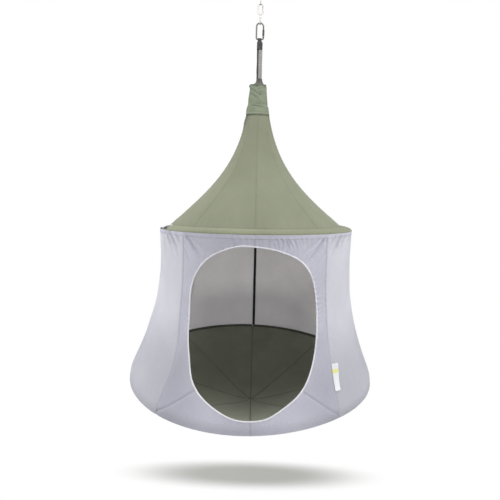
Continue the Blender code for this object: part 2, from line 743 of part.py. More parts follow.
def keeper_section(spare, height):
    """The oblong round both webbings, this far outside them."""
    left, right = sling_edges()
    depth = sling_depths()[1] + WEBBING / 2 + spare
    return [Vector((left - spare, -depth, height)), Vector((right + spare, -depth, height)),
            Vector((right + spare, depth, height)), Vector((left - spare, depth, height))]


def build_sling(pod):
    """The two webbings and the keeper that is sewn round them below the carabiner."""
    black, grey = sling_depths()
    bar = BAR_HEIGHT - HOOP_HEIGHT
    over = ROD_RADIUS + GAP + WEBBING / 2
    black_end = RING_TOP_HEIGHT + RING_WIRE_RADIUS + 4 * GAP
    taper_end = bar - GREY_TOP_DROP + 2 * GAP
    centre = Vector((BLACK_WEBBING_SHIFT, 0, bar))
    path = [Vector((centre.x, -black, black_end)), Vector((centre.x, -black, taper_end))]
    path += arc(centre, over, 180, 0, 10, AXIS_Y, AXIS_Z)
    path += [Vector((centre.x, black, taper_end)), Vector((centre.x, black, black_end))]
    widths = [AXIS_X * (BLACK_WEBBING_WIDTH / 2)] * len(path)
    solid("sling_webbing_black", *ribbon(path, widths, WEBBING), "black webbing", pod["body"], pod["frame"])
    grey_top = bar - GREY_TOP_DROP
    centre = Vector((GREY_WEBBING_SHIFT, 0, RING_TOP_HEIGHT))
    path = [Vector((centre.x, -grey, grey_top))] + arc(centre, grey, 180, 360, 10, AXIS_Y, AXIS_Z)
    path += [Vector((centre.x, grey, grey_top))]
    widths = [AXIS_X * (GREY_WEBBING_WIDTH / 2)] * len(path)
    solid("sling_webbing_grey", *ribbon(path, widths, WEBBING), "grey webbing", pod["body"], pod["frame"])
    heights = (bar - KEEPER_DROP, bar - KEEPER_DROP - KEEPER_LENGTH)
    outside = [keeper_section(GAP + KEEPER_WALL, height) for height in heights]
    inside = [keeper_section(GAP, height) for height in heights]
    solid("sling_keeper", *hollow_loft(outside, inside), "black webbing", pod["body"], pod["frame"])


def build_gather_ring(pod):
    """The steel ring that the sling carries and the three straps hang on."""
    high = RING_TOP_HEIGHT - RING_CORNER
    low = RING_TOP_HEIGHT - RING_RISE + RING_CORNER
    reach = 1.5 * STRAP_WIDTH + STRAP_SPACING
    path = []
    for side, height, start in ((1, high, 0), (-1, high, 90), (-1, low, 180), (1, low, 270)):
        path += arc(Vector((side * reach, 0, height)), RING_CORNER, start, start + 90, 4, AXIS_X, AXIS_Z)
    stations = wire_stations(path, AXIS_Y, RING_WIRE_RADIUS, WIRE_SIDES, True)
    solid("gather_ring", *loft(stations, closed=True), "galvanised steel", pod["body"], pod["frame"])


def strap_line():
    """The strap's middle line under the roof, past the eave tunnel and down the wall."""
    clear = STRAP_WIDTH / 2 * math.tan(HALF_STEP) + GAP + STRAP_THICKNESS / 2
    inner = inset(SHELL_INSIDE, clear)
    roof = [point for point in inner[1:BRIM_START + 1] if point[1] < COLLAR_HEM_HEIGHT]
    tunnel_side = EAVE_POLE_CENTRE - TUNNEL_RADIUS - clear
    passing = [(tunnel_side, EAVE_POLE_HEIGHT + TUNNEL_RADIUS), (tunnel_side, EAVE_POLE_HEIGHT - TUNNEL_RADIUS)]
    wall = inner[WALL_START + 2:-1]
    face = wall[-1][0] - STRAP_THICKNESS / 2 - HOOP_RADIUS
    end_height = math.sqrt(max(SLEEVE_RADIUS ** 2 - face ** 2, 0)) + 2 * GAP
    wall.append((wall[-1][0], end_height))
    return roof + passing + wall


def build_strap(name, azimuth, place, pod):
    """One load strap: looped over the gather ring, then down inside the shell to the hoop."""
    bar = Vector((place * (STRAP_WIDTH + STRAP_SPACING), 0, RING_TOP_HEIGHT - RING_RISE))
    loop = RING_WIRE_RADIUS + GAP + STRAP_THICKNESS / 2
    path = [bar - AXIS_Z * STRAP_TAIL - AXIS_Y * loop]
    path += arc(bar, loop, 180, 0, 8, AXIS_Y, AXIS_Z)
    path.append(bar - AXIS_Z * (STRAP_TAIL / 2) + AXIS_Y * loop)
    widths = [AXIS_X] * len(path)
    tangent = Vector((math.cos(math.radians(azimuth)), math.sin(math.radians(azimuth)), 0))
    if tangent.x < 0:
        tangent = -tangent
    line = strap_line()
    first = ring_point(azimuth, *line[0])
    start = path[-1]
    for step in (1, 2, 3):
        share = step / 4
        path.append(start.lerp(first, share))
        widths.append(AXIS_X.lerp(tangent, share).normalized())
    for radius, height in line:
        path.append(ring_point(azimuth, radius, height))
        widths.append(tangent)
    widths = [width * (STRAP_WIDTH / 2) for width in widths]
    solid(name, *ribbon(path, widths, STRAP_THICKNESS), "black webbing", pod["body"], pod["frame"])


# Cloth

def build_collar(pod):
    """The cloth collar over the roof's neck, drawn in to a cone round the sling."""
    hem = radius_at(SHELL, COLLAR_HEM_HEIGHT) + GAP + CLOTH
    reach = math.hypot(max(-sling_edges()[0], sling_edges()[1]), sling_depths()[1] + WEBBING / 2)
    mouth = (reach + 2 * GAP) / math.cos(HALF_STEP) + CLOTH
    outer = [
        (mouth, COLLAR_TOP_HEIGHT + COLLAR_CONE_HEIGHT),
        (mouth + COLLAR_CONE_WIDTH, COLLAR_TOP_HEIGHT + COLLAR_CONE_HEIGHT / 6),
        (COLLAR_TOP_RADIUS, COLLAR_TOP_HEIGHT),
        (hem, COLLAR_HEM_HEIGHT),
    ]
    section = outer + list(reversed(inset(outer, CLOTH)))
    stations = [[ring_point(azimuth, r, z) for r, z in section] for azimuth in RING]
    solid("collar", *loft(stations, closed=True), "olive roof cloth", pod["body"], pod["frame"])


def build_roof(pod):
    """Eight roof gores."""
    outer, inner = shell_slice(0, BRIM_START)
    for name, start, end in gore_names("roof"):
        panel(name, outer, inner, gore_azimuths(start, end), "olive roof cloth", pod)


def scallop_cutter(joint, pod):
    """A round cutter that bites through the brim, centred on the pole's joint."""
    half_chord = EAVE_RADIUS * math.sin(math.radians(SCALLOP_ARC))
    radius = (half_chord ** 2 + SCALLOP_DEPTH ** 2) / (2 * SCALLOP_DEPTH)
    reach = EAVE_RADIUS * math.cos(math.radians(SCALLOP_ARC)) - SCALLOP_DEPTH + radius
    angle = math.radians(joint)
    centre = Vector((reach * math.sin(angle), -reach * math.cos(angle), WALL_HEIGHT))
    tall = AXIS_Z * BRIM_RISE * 2
    shape = rod(centre - tall, centre + tall, radius, 4 * ROUND_SIDES)
    return cutter("scallop_cutter", *shape, pod["body"], pod["frame"])


def build_eave(pod):
    """The brim with its scallop, the tunnel under it, and the pole with its ferrule."""
    outer, inner = shell_slice(BRIM_START, WALL_START)
    section = list(outer) + list(reversed(inner))
    stations = [[ring_point(azimuth, r, z) for r, z in section] for azimuth in RING]
    band = solid("eave_band", *loft(stations, closed=True), "olive roof cloth", pod["body"], pod["frame"])
    joint = gore_azimuths(-SIDE_SEAM, -DOOR_SEAM)[1]
    combine(band, scallop_cutter(joint, pod), "DIFFERENCE")
    line = (EAVE_POLE_CENTRE, EAVE_POLE_HEIGHT)
    hoop_tube("eave_tunnel", line, (TUNNEL_RADIUS, TUNNEL_BORE),
              azimuths_between(joint + SCALLOP_ARC, joint + 360 - SCALLOP_ARC), "olive roof cloth", pod)
    split = math.degrees(GAP / EAVE_POLE_CENTRE)
    hoop_tube("eave_pole", line, (EAVE_POLE_RADIUS, None),
              azimuths_between(joint + split, joint + 360 - split), "black fibreglass", pod)
    hoop_tube("eave_ferrule", line, (EAVE_FERRULE_RADIUS, EAVE_POLE_RADIUS + GAP),
              azimuths_between(joint - EAVE_FERRULE_ARC, joint + EAVE_FERRULE_ARC), "black anodised alloy", pod)


def door_outline(draw_in):
    """The door's edge as (x, height), anticlockwise seen from the front, drawn in by a distance."""
    points = []
    for index in range(DOOR_POINTS):
        angle = 2 * math.pi * (index + 0.5) / DOOR_POINTS
        sine, cosine = math.sin(angle), math.cos(angle)
        half_height = DOOR_TOP - DOOR_WIDEST if sine > 0 else DOOR_WIDEST - DOOR_SILL
        share = (abs(cosine) ** DOOR_POWER + abs(sine) ** DOOR_POWER) ** (-1 / DOOR_POWER)
        points.append((cosine * share * (DOOR_HALF_WIDTH - draw_in),
                       DOOR_WIDEST + sine * share * (half_height - draw_in)))
    return points


def wall_depth(x, height):
    """The wall's Y at a place on its front, on the flat between two stations."""
    radius = radius_at(SHELL, height)
    front = [station for station in RING if abs(station) < 90]
    for low, high in zip(front, front[1:]):
        x1, x2 = radius * math.sin(math.radians(low)), radius * math.sin(math.radians(high))
        if x1 <= x <= x2:
            y1, y2 = -radius * math.cos(math.radians(low)), -radius * math.cos(math.radians(high))
            return y1 + (y2 - y1) * (x - x1) / (x2 - x1)
    return -radius


def front_prism(outline):
    """An upright outline in X and Z, made deep enough to pass through the front wall only."""
    return loft([[Vector((x, y, z)) for x, z in outline] for y in (-2 * HOOP_RADIUS, -0.25 * HOOP_RADIUS)])


def sill_outline(spare):
    """The wedge below the door: its slanting sides run from the hoop to a point behind the door."""
    corner = radius_at(SHELL, SILL_CORNER_HEIGHT) * math.sin(math.radians(DOOR_SEAM))
    slope = (SILL_APEX_HEIGHT - SILL_CORNER_HEIGHT) / corner
    lift = spare * math.hypot(1, slope)
    far = corner * 1.2
    far_height = SILL_APEX_HEIGHT - slope * far + lift
    return [(-far, -SILL_APEX_HEIGHT), (far, -SILL_APEX_HEIGHT), (far, far_height),
            (0, SILL_APEX_HEIGHT + lift), (-far, far_height)]


def build_walls(pod):
    """Eight wall gores, the door's opening in the front two, and the sill panel below it."""
    outer, inner = shell_slice(WALL_START, len(SHELL) - 1)
    body, frame = pod["body"], pod["frame"]
    door = cutter("door_cutter", *front_prism(door_outline(0)), body, frame)
    wedge = cutter("sill_cutter", *front_prism(sill_outline(GAP / 2)), body, frame)
    inner_wedge = cutter("sill_inner_cutter", *front_prism(sill_outline(-GAP / 2)), body, frame)
    for name, start, end in gore_names("wall"):
        item = panel(name, outer, inner, gore_azimuths(start, end), "pale wall cloth", pod)
        if max(abs(start), abs(end)) <= DOOR_SEAM:
            combine(item, wedge, "DIFFERENCE")
            combine(item, door, "DIFFERENCE")
    front = gore_azimuths(-DOOR_SEAM, 0) + gore_azimuths(0, DOOR_SEAM)[1:]
    above_sill = sum(height > SILL_APEX_HEIGHT for _, height in SHELL) - 1
    low_outer, low_inner = shell_slice(above_sill, len(SHELL) - 1)
    sill = panel("sill_panel", low_outer, low_inner, front, "pale wall cloth", pod)
    combine(sill, inner_wedge, "INTERSECT")
    combine(sill, door, "DIFFERENCE")


def build_binding(pod):
    """The binding tape on the door's edge."""
    stations = []
    for (x1, z1), (x2, z2) in zip(door_outline(GAP), door_outline(GAP + BINDING_WIDTH)):
        thick = CLOTH + 3 * BINDING_PROUD
        section = []
        for x, z, depth in ((x1, z1, -BINDING_PROUD), (x2, z2, -BINDING_PROUD), (x2, z2, thick), (x1, z1, thick)):
            section.append(Vector((x, wall_depth(x, z) + depth, z)))
        stations.append(section)
    solid("door_binding", *loft(stations, closed=True), "white binding", pod["body"], pod["frame"])


def build_care_tag(pod):
    """The blank tag, sewn in along the right door seam and lying on the side wall."""
    base = [(radius_at(SHELL, z), z) for z in (TAG_TOP, TAG_TOP - TAG_LENGTH / 2, TAG_TOP - TAG_LENGTH)]
    inner = inset(base, -GAP)
    outer = inset(base, -GAP - TAG_THICKNESS)
    arc_width = math.degrees(TAG_WIDTH / base[1][0])
    vertices, faces = loft(panel_stations(outer, inner, [DOOR_SEAM, DOOR_SEAM + arc_width]), strip=True)
    solid("care_tag", vertices, faces, "white label tape", pod["body"], pod["frame"])


def build_hoop(pod):
    """Three hoop tubes, the spigots that join them, and the sleeve round them."""
    line = (HOOP_RADIUS, 0)
    front_joint = gore_azimuths(DOOR_SEAM, SEAMS[2])[GORE_STEPS // 2]
    ends = {"left": (-180, -front_joint), "front": (-front_joint, front_joint), "right": (front_joint, 180)}
    split = math.degrees(GAP / HOOP_RADIUS)
    bore = HOOP_TUBE_RADIUS - HOOP_TUBE_WALL
    for place, (start, end) in ends.items():
        hoop_tube(f"hoop_tube_{place}", line, (HOOP_TUBE_RADIUS, bore),
                  azimuths_between(start + split, end - split), "polished alloy", pod)
    for place, joint in (("left", -front_joint), ("right", front_joint), ("back", 180)):
        hoop_tube(f"hoop_spigot_{place}", line, (bore - GAP, None),
                  azimuths_between(joint - SPIGOT_ARC, joint + SPIGOT_ARC), "polished alloy", pod)
    hoop_tube("hoop_sleeve", line, (SLEEVE_RADIUS, SLEEVE_BORE),
              azimuths_between(-180 + SLEEVE_OPENING_ARC, 180 - SLEEVE_OPENING_ARC), "dark floor cloth", pod)


def floor_profile():
    """The floor's underside, from the rim to the middle."""
    points = []
    end = math.hypot(1, FLOOR_ROUNDING)
    for step in range(FLOOR_STEPS + 1):
        radius = FLOOR_RIM_RADIUS + (FLOOR_TIP_RADIUS - FLOOR_RIM_RADIUS) * step / FLOOR_STEPS
        share = (end - math.hypot(radius / FLOOR_RIM_RADIUS, FLOOR_ROUNDING)) / (end - FLOOR_ROUNDING)
        points.append((radius, -FLOOR_SAG * share))
    return points


def build_floor(pod):
    """Eight floor gores."""
    outer = floor_profile()
    inner = inset(outer, CLOTH)
    inner[0] = (outer[0][0], inner[0][1])
    inner[-1] = (outer[-1][0], inner[-1][1])
    for name, start, end in gore_names("floor"):
        panel(name, outer, inner, gore_azimuths(start, end), "dark floor cloth", pod)


def build_pod(pod):
    """Everything that hangs on the carabiner."""
    build_sling(pod)
    build_gather_ring(pod)
    for side, (azimuth, place) in STRAP_PLACES.items():
        build_strap(f"strap_{side}", azimuth, place, pod)
    build_collar(pod)
    build_roof(pod)
    build_eave(pod)
    build_walls(pod)
    build_binding(pod)
    build_care_tag(pod)
    build_hoop(pod)
    build_floor(pod)


def main():
    clear_scene()
    ceiling = empty("ceiling_body", (0, 0, 0))
    build_ceiling(ceiling)
    eye = empty("eye_axis", (0, 0, EYE_CENTRE), ceiling)
    build_eye(eye)
    above = eye
    pivot = EYE_BOTTOM
    for index in range(LINK_COUNT):
        bottom = FIRST_LINK_BOTTOM - index * LINK_PITCH
        above = empty(f"link_{index + 1}_axis", (0, 0, pivot), above)
        build_link(f"chain_link_{index + 1}", bottom, index % 2 == 0, above)
        pivot = bottom
    carabiner = empty("carabiner_axis", (0, 0, pivot), above)
    hinge = (CARABINER_HALF_WIDTH, 0, BAR_HEIGHT + HINGE_HEIGHT)
    gate = empty("gate_axis", hinge, carabiner)
    lock = empty("lock_axis", hinge, gate)
    build_carabiner_frame(carabiner)
    build_gate(gate, carabiner, lock)
    pod_axis = empty("pod_axis", (0, 0, BAR_HEIGHT), carabiner)
    build_pod({"body": pod_axis, "frame": Vector((0, 0, HOOP_HEIGHT))})


main()
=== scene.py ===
import math

import bmesh
import bpy
import numpy as np
from mathutils import Matrix, Vector


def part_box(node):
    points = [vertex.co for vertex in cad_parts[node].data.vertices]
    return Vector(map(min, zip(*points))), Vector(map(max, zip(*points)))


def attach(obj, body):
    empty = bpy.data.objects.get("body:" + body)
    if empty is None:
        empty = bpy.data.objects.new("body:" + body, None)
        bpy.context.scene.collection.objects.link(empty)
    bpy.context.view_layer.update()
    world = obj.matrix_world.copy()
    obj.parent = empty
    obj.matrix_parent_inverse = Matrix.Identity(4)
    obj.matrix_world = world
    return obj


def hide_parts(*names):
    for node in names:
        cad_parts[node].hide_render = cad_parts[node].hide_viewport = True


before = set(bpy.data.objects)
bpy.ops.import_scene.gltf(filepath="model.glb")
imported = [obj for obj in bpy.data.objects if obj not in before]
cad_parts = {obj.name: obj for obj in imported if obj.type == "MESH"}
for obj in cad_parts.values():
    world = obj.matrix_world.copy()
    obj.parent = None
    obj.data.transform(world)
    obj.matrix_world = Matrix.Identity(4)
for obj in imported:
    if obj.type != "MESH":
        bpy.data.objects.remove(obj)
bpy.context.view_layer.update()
print("frame loaded:", len(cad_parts), "CAD nodes")


# Colours and nodes

def linear(hexColour):
    # an sRGB hex value as the linear colour that a shader works with
    channels = [int(hexColour[start:start + 2], 16) / 255 for start in (1, 3, 5)]
    return tuple(c / 12.92 if c <= 0.04045 else ((c + 0.055) / 1.055) ** 2.4 for c in channels) + (1.0,)


def addNode(tree, kind, inputs=None, **settings):
    # one node: its settings by name, then its inputs as values, sockets, or nodes whose first output is meant
    node = tree.nodes.new(kind)
    for name, value in settings.items():
        setattr(node, name, value)
    for name, value in (inputs or {}).items():
        if isinstance(value, bpy.types.Node):
            value = value.outputs[0]
        if isinstance(value, bpy.types.NodeSocket):
            tree.links.new(value, node.inputs[name])
        else:
            node.inputs[name].default_value = value
    return node


def newMaterial(name):
    material = bpy.data.materials.new(name)
    material.use_nodes = True
    tree = material.node_tree
    tree.nodes.clear()
    return material, tree


def closeMaterial(tree, shader):
    addNode(tree, "ShaderNodeOutputMaterial", {"Surface": shader})


bandStep = 0.314  # metres between the bands of a wave texture at scale 1


# Woven cloth: matt, a plain weave with slubs, and a little see-through. Its seamShade attribute darkens it along its
# sewn edges, and also carries painted shade where a piece raises it.
# Real threads are 0.4 mm apart. They are drawn at 1.6 mm, or no render would show them. A slub is 1 mm by 17 mm.
def wovenCloth(name, colour, shade, thread=0.0016, roughness=0.86, sheen=0.12, through=0.0, seam="#5C5F58",
               seamAndShadeShare=0.28, bump=0.35):
    material, tree = newMaterial(name)
    given = addNode(tree, "ShaderNodeTexCoord").outputs
    uv, here = given["UV"], given["Object"]
    cloud = addNode(tree, "ShaderNodeTexNoise", {"Vector": here, "Scale": 5.0, "Detail": 4.0, "Roughness": 0.6})
    tone = addNode(tree, "ShaderNodeMapRange", {"Value": cloud, "From Min": 0.3, "From Max": 0.7})
    base = addNode(tree, "ShaderNodeMix", {"Factor": tone, 6: linear(colour), 7: linear(shade)},
                   data_type="RGBA")
    threads = []
    for stretch in ((60.0, 900.0, 1.0), (900.0, 60.0, 1.0)):
        placed = addNode(tree, "ShaderNodeMapping", {"Vector": uv, "Scale": stretch})
        threads.append(addNode(tree, "ShaderNodeTexNoise", {"Vector": placed, "Scale": 1.0, "Detail": 1.0}))
    slub = addNode(tree, "ShaderNodeMath", {0: threads[0], 1: threads[1]}, operation="ADD")
    slubTone = addNode(tree, "ShaderNodeMapRange", {"Value": slub, "From Min": 0.75, "From Max": 1.25,
                                                    "To Min": 0.93, "To Max": 1.05})
    lit = addNode(tree, "ShaderNodeMix", {"Factor": 1.0, 6: base.outputs[2], 7: slubTone},
                  data_type="RGBA", blend_type="MULTIPLY")
    # the seamShade attribute mixes in the dark seam colour: dark sewn joints, and painted shade
    edge = addNode(tree, "ShaderNodeAttribute", attribute_name="seamShade")
    seamAndShadeMix = addNode(tree, "ShaderNodeMath", {0: edge.outputs["Fac"], 1: seamAndShadeShare}, operation="MULTIPLY")
    final = addNode(tree, "ShaderNodeMix", {"Factor": seamAndShadeMix, 6: lit.outputs[2], 7: linear(seam)},
                    data_type="RGBA")
    bands = []
    for direction in ("X", "Y"):
        bands.append(addNode(tree, "ShaderNodeTexWave", {"Vector": uv, "Scale": bandStep / thread, "Distortion": 0.4,
                                                         "Detail": 1.0}, bands_direction=direction))
    weave = addNode(tree, "ShaderNodeMath", {0: bands[0].outputs["Fac"], 1: bands[1].outputs["Fac"]},
                    operation="MULTIPLY")
    height = addNode(tree, "ShaderNodeMath", {0: weave, 1: slub}, operation="ADD")
    normal = addNode(tree, "ShaderNodeBump", {"Height": height, "Strength": bump, "Distance": thread * 0.2})
    shader = addNode(tree, "ShaderNodeBsdfPrincipled", {
        "Base Color": final.outputs[2], "Normal": normal, "Roughness": roughness,
        "Sheen Weight": sheen, "Sheen Roughness": 0.6, "Specular IOR Level": 0.3})
    if through > 0:
        glow = addNode(tree, "ShaderNodeBsdfTranslucent", {"Color": final.outputs[2]})
        shader = addNode(tree, "ShaderNodeMixShader", {0: through, 1: shader, 2: glow})
    closeMaterial(tree, shader)
    return material


# Polyester webbing: flat tape with a herringbone of fat ribs, slightly shiny, fuzzed at its edges.
# The ribs are 2 mm apart, as on real load webbing.
def ribbedWebbing(name, colour, shade, rib=0.002):
    material, tree = newMaterial(name)
    given = addNode(tree, "ShaderNodeTexCoord").outputs
    parts = addNode(tree, "ShaderNodeSeparateXYZ", {"Vector": given["UV"]})
    fold = addNode(tree, "ShaderNodeMath", {0: parts, 1: 0.0}, operation="ABSOLUTE")
    slanted = addNode(tree, "ShaderNodeMath", {0: fold, 1: parts.outputs[1]}, operation="ADD")
    joined = addNode(tree, "ShaderNodeCombineXYZ", {"X": slanted})
    ribs = addNode(tree, "ShaderNodeTexWave", {"Vector": joined, "Scale": bandStep / rib, "Distortion": 0.3},
                   bands_direction="X")
    fuzz = addNode(tree, "ShaderNodeTexNoise", {"Vector": given["Object"], "Scale": 900.0, "Detail": 2.0})
    blend = addNode(tree, "ShaderNodeMath", {0: ribs.outputs["Fac"], 1: fuzz}, operation="MULTIPLY")
    colourMix = addNode(tree, "ShaderNodeMix", {"Factor": blend, 6: linear(shade), 7: linear(colour)},
                        data_type="RGBA")
    height = addNode(tree, "ShaderNodeMath", {0: ribs.outputs["Fac"], 1: fuzz}, operation="ADD")
    normal = addNode(tree, "ShaderNodeBump", {"Height": height, "Strength": 0.5, "Distance": 0.0005})
    shader = addNode(tree, "ShaderNodeBsdfPrincipled", {
        "Base Color": colourMix.outputs[2], "Normal": normal, "Roughness": 0.62,
        "Sheen Weight": 0.1, "Specular IOR Level": 0.4})
    closeMaterial(tree, shader)
    return material


# Metal: the drawn or turned surface shows as fine lines, with rub marks that are rougher or shinier.
def wornMetal(name, colour, shade, roughness=0.3, grain=(60.0, 60.0, 900.0), metallic=1.0, spot=90.0, bump=0.15):
    material, tree = newMaterial(name)
    here = addNode(tree, "ShaderNodeTexCoord").outputs["Object"]
    placed = addNode(tree, "ShaderNodeMapping", {"Vector": here, "Scale": grain})
    lines = addNode(tree, "ShaderNodeTexNoise", {"Vector": placed, "Scale": 1.0, "Detail": 3.0})
    marks = addNode(tree, "ShaderNodeTexNoise", {"Vector": here, "Scale": spot, "Detail": 5.0, "Roughness": 0.65})
    wear = addNode(tree, "ShaderNodeMapRange", {"Value": marks, "From Min": 0.38, "From Max": 0.66})
    tone = addNode(tree, "ShaderNodeMix", {"Factor": wear, 6: linear(colour), 7: linear(shade)},
                   data_type="RGBA")
    rough = addNode(tree, "ShaderNodeMapRange", {"Value": wear, "To Min": roughness * 0.75,
                                                 "To Max": roughness * 1.35})
    normal = addNode(tree, "ShaderNodeBump", {"Height": lines, "Strength": bump, "Distance": 0.0003})
    shader = addNode(tree, "ShaderNodeBsdfPrincipled", {
        "Base Color": tone.outputs[2], "Roughness": rough, "Normal": normal,
        "Metallic": metallic})
    closeMaterial(tree, shader)
    return material


# Pulled fibreglass: black resin with fine bundles along the rod, glossy between them.
def pulledFibreglass(name):
    material, tree = newMaterial(name)
    here = addNode(tree, "ShaderNodeTexCoord").outputs["Object"]
    strands = addNode(tree, "ShaderNodeTexNoise", {"Vector": here, "Scale": 700.0, "Detail": 3.0})
    tone = addNode(tree, "ShaderNodeMix", {"Factor": strands, 6: linear("#161616"), 7: linear("#2C2C2B")},
                   data_type="RGBA")
    rough = addNode(tree, "ShaderNodeMapRange", {"Value": strands, "To Min": 0.25, "To Max": 0.5})
    normal = addNode(tree, "ShaderNodeBump", {"Height": strands, "Strength": 0.2, "Distance": 0.0003})
    shader = addNode(tree, "ShaderNodeBsdfPrincipled", {
        "Base Color": tone.outputs[2], "Roughness": rough, "Normal": normal, "IOR": 1.52})
    closeMaterial(tree, shader)
    return material


# Woven satin tape for the tag: white, smooth, with one plain pale yellow bar across it and no lettering.
# Its threads are drawn 0.9 mm apart, three times as coarse as real ones, so that they show.
def labelTape(name, barLow, barHigh):
    material, tree = newMaterial(name)
    given = addNode(tree, "ShaderNodeTexCoord").outputs
    parts = addNode(tree, "ShaderNodeSeparateXYZ", {"Vector": given["UV"]})
    above = addNode(tree, "ShaderNodeMath", {0: parts.outputs[1], 1: barLow}, operation="GREATER_THAN")
    below = addNode(tree, "ShaderNodeMath", {0: parts.outputs[1], 1: barHigh}, operation="LESS_THAN")
    inBar = addNode(tree, "ShaderNodeMath", {0: above, 1: below}, operation="MULTIPLY")
    threads = addNode(tree, "ShaderNodeTexWave", {"Vector": given["UV"], "Scale": bandStep / 0.0009,
                                                  "Distortion": 0.3}, bands_direction="Y")
    white = addNode(tree, "ShaderNodeMix", {
        "Factor": threads.outputs["Fac"], 6: linear("#E3E4EA"), 7: linear("#F2F2F4")}, data_type="RGBA")
    tone = addNode(tree, "ShaderNodeMix", {"Factor": inBar, 6: white.outputs[2], 7: linear("#EBE79B")},
                   data_type="RGBA")
    normal = addNode(tree, "ShaderNodeBump", {"Height": threads.outputs["Fac"], "Strength": 0.3, "Distance": 0.0002})
    shader = addNode(tree, "ShaderNodeBsdfPrincipled", {
        "Base Color": tone.outputs[2], "Normal": normal, "Roughness": 0.5, "Sheen Weight": 0.1})
    closeMaterial(tree, shader)
    return material


oliveCanvas = wovenCloth("olivePolycottonCanvas", "#838773", "#7C806C", sheen=0.03, through=0.12, seam="#45493A")
collarCanvas = wovenCloth("greenerPolycottonCanvas", "#7B8370", "#707965", sheen=0.03, through=0.03, seam="#42453A")
drawnCanvas = wovenCloth("drawnPolycottonCanvas", "#504F48", "#43423C", seam="#3C3D37")
paleCotton = wovenCloth("palePolycotton", "#EAEBF9", "#E1E2F1", through=0.50, seam="#84858F")
# painted light: a lighter copy of the pale cloth, for the side gores that stand brighter in the light
litSideCotton = wovenCloth("palePolycottonPaintedLighter", "#F1F2FC", "#E8E9F4", through=0.50, seam="#84858F")
sleeveCanvas = wovenCloth("darkOliveSleeveCanvas", "#5C5F51", "#505346", seam="#3A3C33")
# painted light: the inside face is tinted warm, as the light bounced inside the pod from its olive roof and floor
innerCotton = wovenCloth("palePolycottonInside", "#ECE8E1", "#E3DFD8", through=0.50, seam="#84858F", bump=0.6)
floorCanvas = wovenCloth("darkOliveCanvas", "#9A9E8B", "#8D917E", seam="#3A3C33", seamAndShadeShare=0.7)
bindingTape = wovenCloth("whiteBindingTape", "#E4E3E8", "#D2D1D8", thread=0.0012, seam="#B9B9C2")
blackWebbing = ribbedWebbing("blackPolyesterWebbing", "#3A3A39", "#1E1E1E")
greyWebbing = ribbedWebbing("greyPolyesterWebbing", "#A09D9A", "#7C7A77")
zincSteel = wornMetal("zincPlatedSteel", "#C4C6C8", "#A3A5A8", roughness=0.32)
dullZinc = wornMetal("weatheredZincSteel", "#B6B4AE", "#9B9993", roughness=0.42)
groundSteel = wornMetal("groundBearingSteel", "#B4B4B6", "#98989A", roughness=0.2)
greyAlloy = wornMetal("greyAnodisedAluminium", "#6F6E6B", "#575654", roughness=0.36, metallic=0.85, spot=140.0)
hoopAlloy = wornMetal("millFinishAluminiumTube", "#CCCDCF", "#ABACAE", roughness=0.38, spot=30.0)
blackAlloy = wornMetal("blackAnodisedAluminium", "#4A4947", "#2E2D2C", roughness=0.42, metallic=0.7)
blackPaint = wornMetal("blackPaintedSteel", "#3A3938", "#2A2928", roughness=0.6, metallic=0.0)
springSteel = wornMetal("springSteelWire", "#9C9C9E", "#808082", roughness=0.3)
blackRod = pulledFibreglass("blackPulledFibreglass")
paleThread = wornMetal("palePolyesterThread", "#C9CAD3", "#B9BAC4", roughness=0.7, metallic=0.0, bump=0.0)
oliveThread = wornMetal("olivePolyesterThread", "#888C70", "#7A7E64", roughness=0.7, metallic=0.0, bump=0.0)
blackThread = wornMetal("blackPolyesterThread", "#2E2E2E", "#222222", roughness=0.7, metallic=0.0, bump=0.0)
print("materials made")


# Camera, light and floor

viewSizes = {
    "distance": 2.3401,     # from the pod's middle line, along -Y
    "heightOverHoop": 1.0181,
    "focalPixels": 359.04,  # of a frame 500 pixels wide
    "roll": 1.45,           # degrees, the photograph's own tilt
    "frame": 500,
    "middle": (255.52, 207.74),  # where the level line of sight meets the frame, in pixels
}

hoopLow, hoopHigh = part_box("hoop_tube_front")
hoopHeight = (hoopLow.z + hoopHigh.z) / 2


def makeCamera(sizes):
    data = bpy.data.cameras.new("photoCamera")
    data.sensor_width = 36.0
    data.lens = sizes["focalPixels"] / sizes["frame"] * data.sensor_width
    data.shift_x = (sizes["frame"] / 2 - sizes["middle"][0]) / sizes["frame"]
    data.shift_y = (sizes["middle"][1] - sizes["frame"] / 2) / sizes["frame"]
    data.clip_end = 60
    camera = bpy.data.objects.new("photoCamera", data)
    level = Matrix.Rotation(math.radians(90), 4, "X") @ Matrix.Rotation(math.radians(sizes["roll"]), 4, "Z")
    camera.matrix_world = Matrix.Translation((0, -sizes["distance"], hoopHeight + sizes["heightOverHoop"])) @ level
    bpy.context.scene.collection.objects.link(camera)
    bpy.context.scene.camera = camera


lightSizes = {
    "world": 0.60,   # how strongly the white surroundings light things. They are seen at 1
    "target": 0.6,   # above the hoop
    "lamps": {  # name: (place from the pod's middle at mid height, size, watts)
        "overheadSoftbox": ((0.1, -1.3, 3.3), 2.4, 93.0),
        "leftSoftbox": ((-3.2, -0.1, 0.8), 2.4, 64.0),
        "rightSoftbox": ((3.0, -1.1, 0.8), 2.2, 50.0),
        "backSoftbox": ((0.0, 3.5, 0.4), 2.8, 68.0),
    },
}


def seenShare(tree):
    # 1 in the camera's view and in reflections, and 0 for the light that falls on things
    path = addNode(tree, "ShaderNodeLightPath")
    return addNode(tree, "ShaderNodeMath", {0: path.outputs["Is Camera Ray"], 1: path.outputs["Is Glossy Ray"]},
                   operation="MAXIMUM")


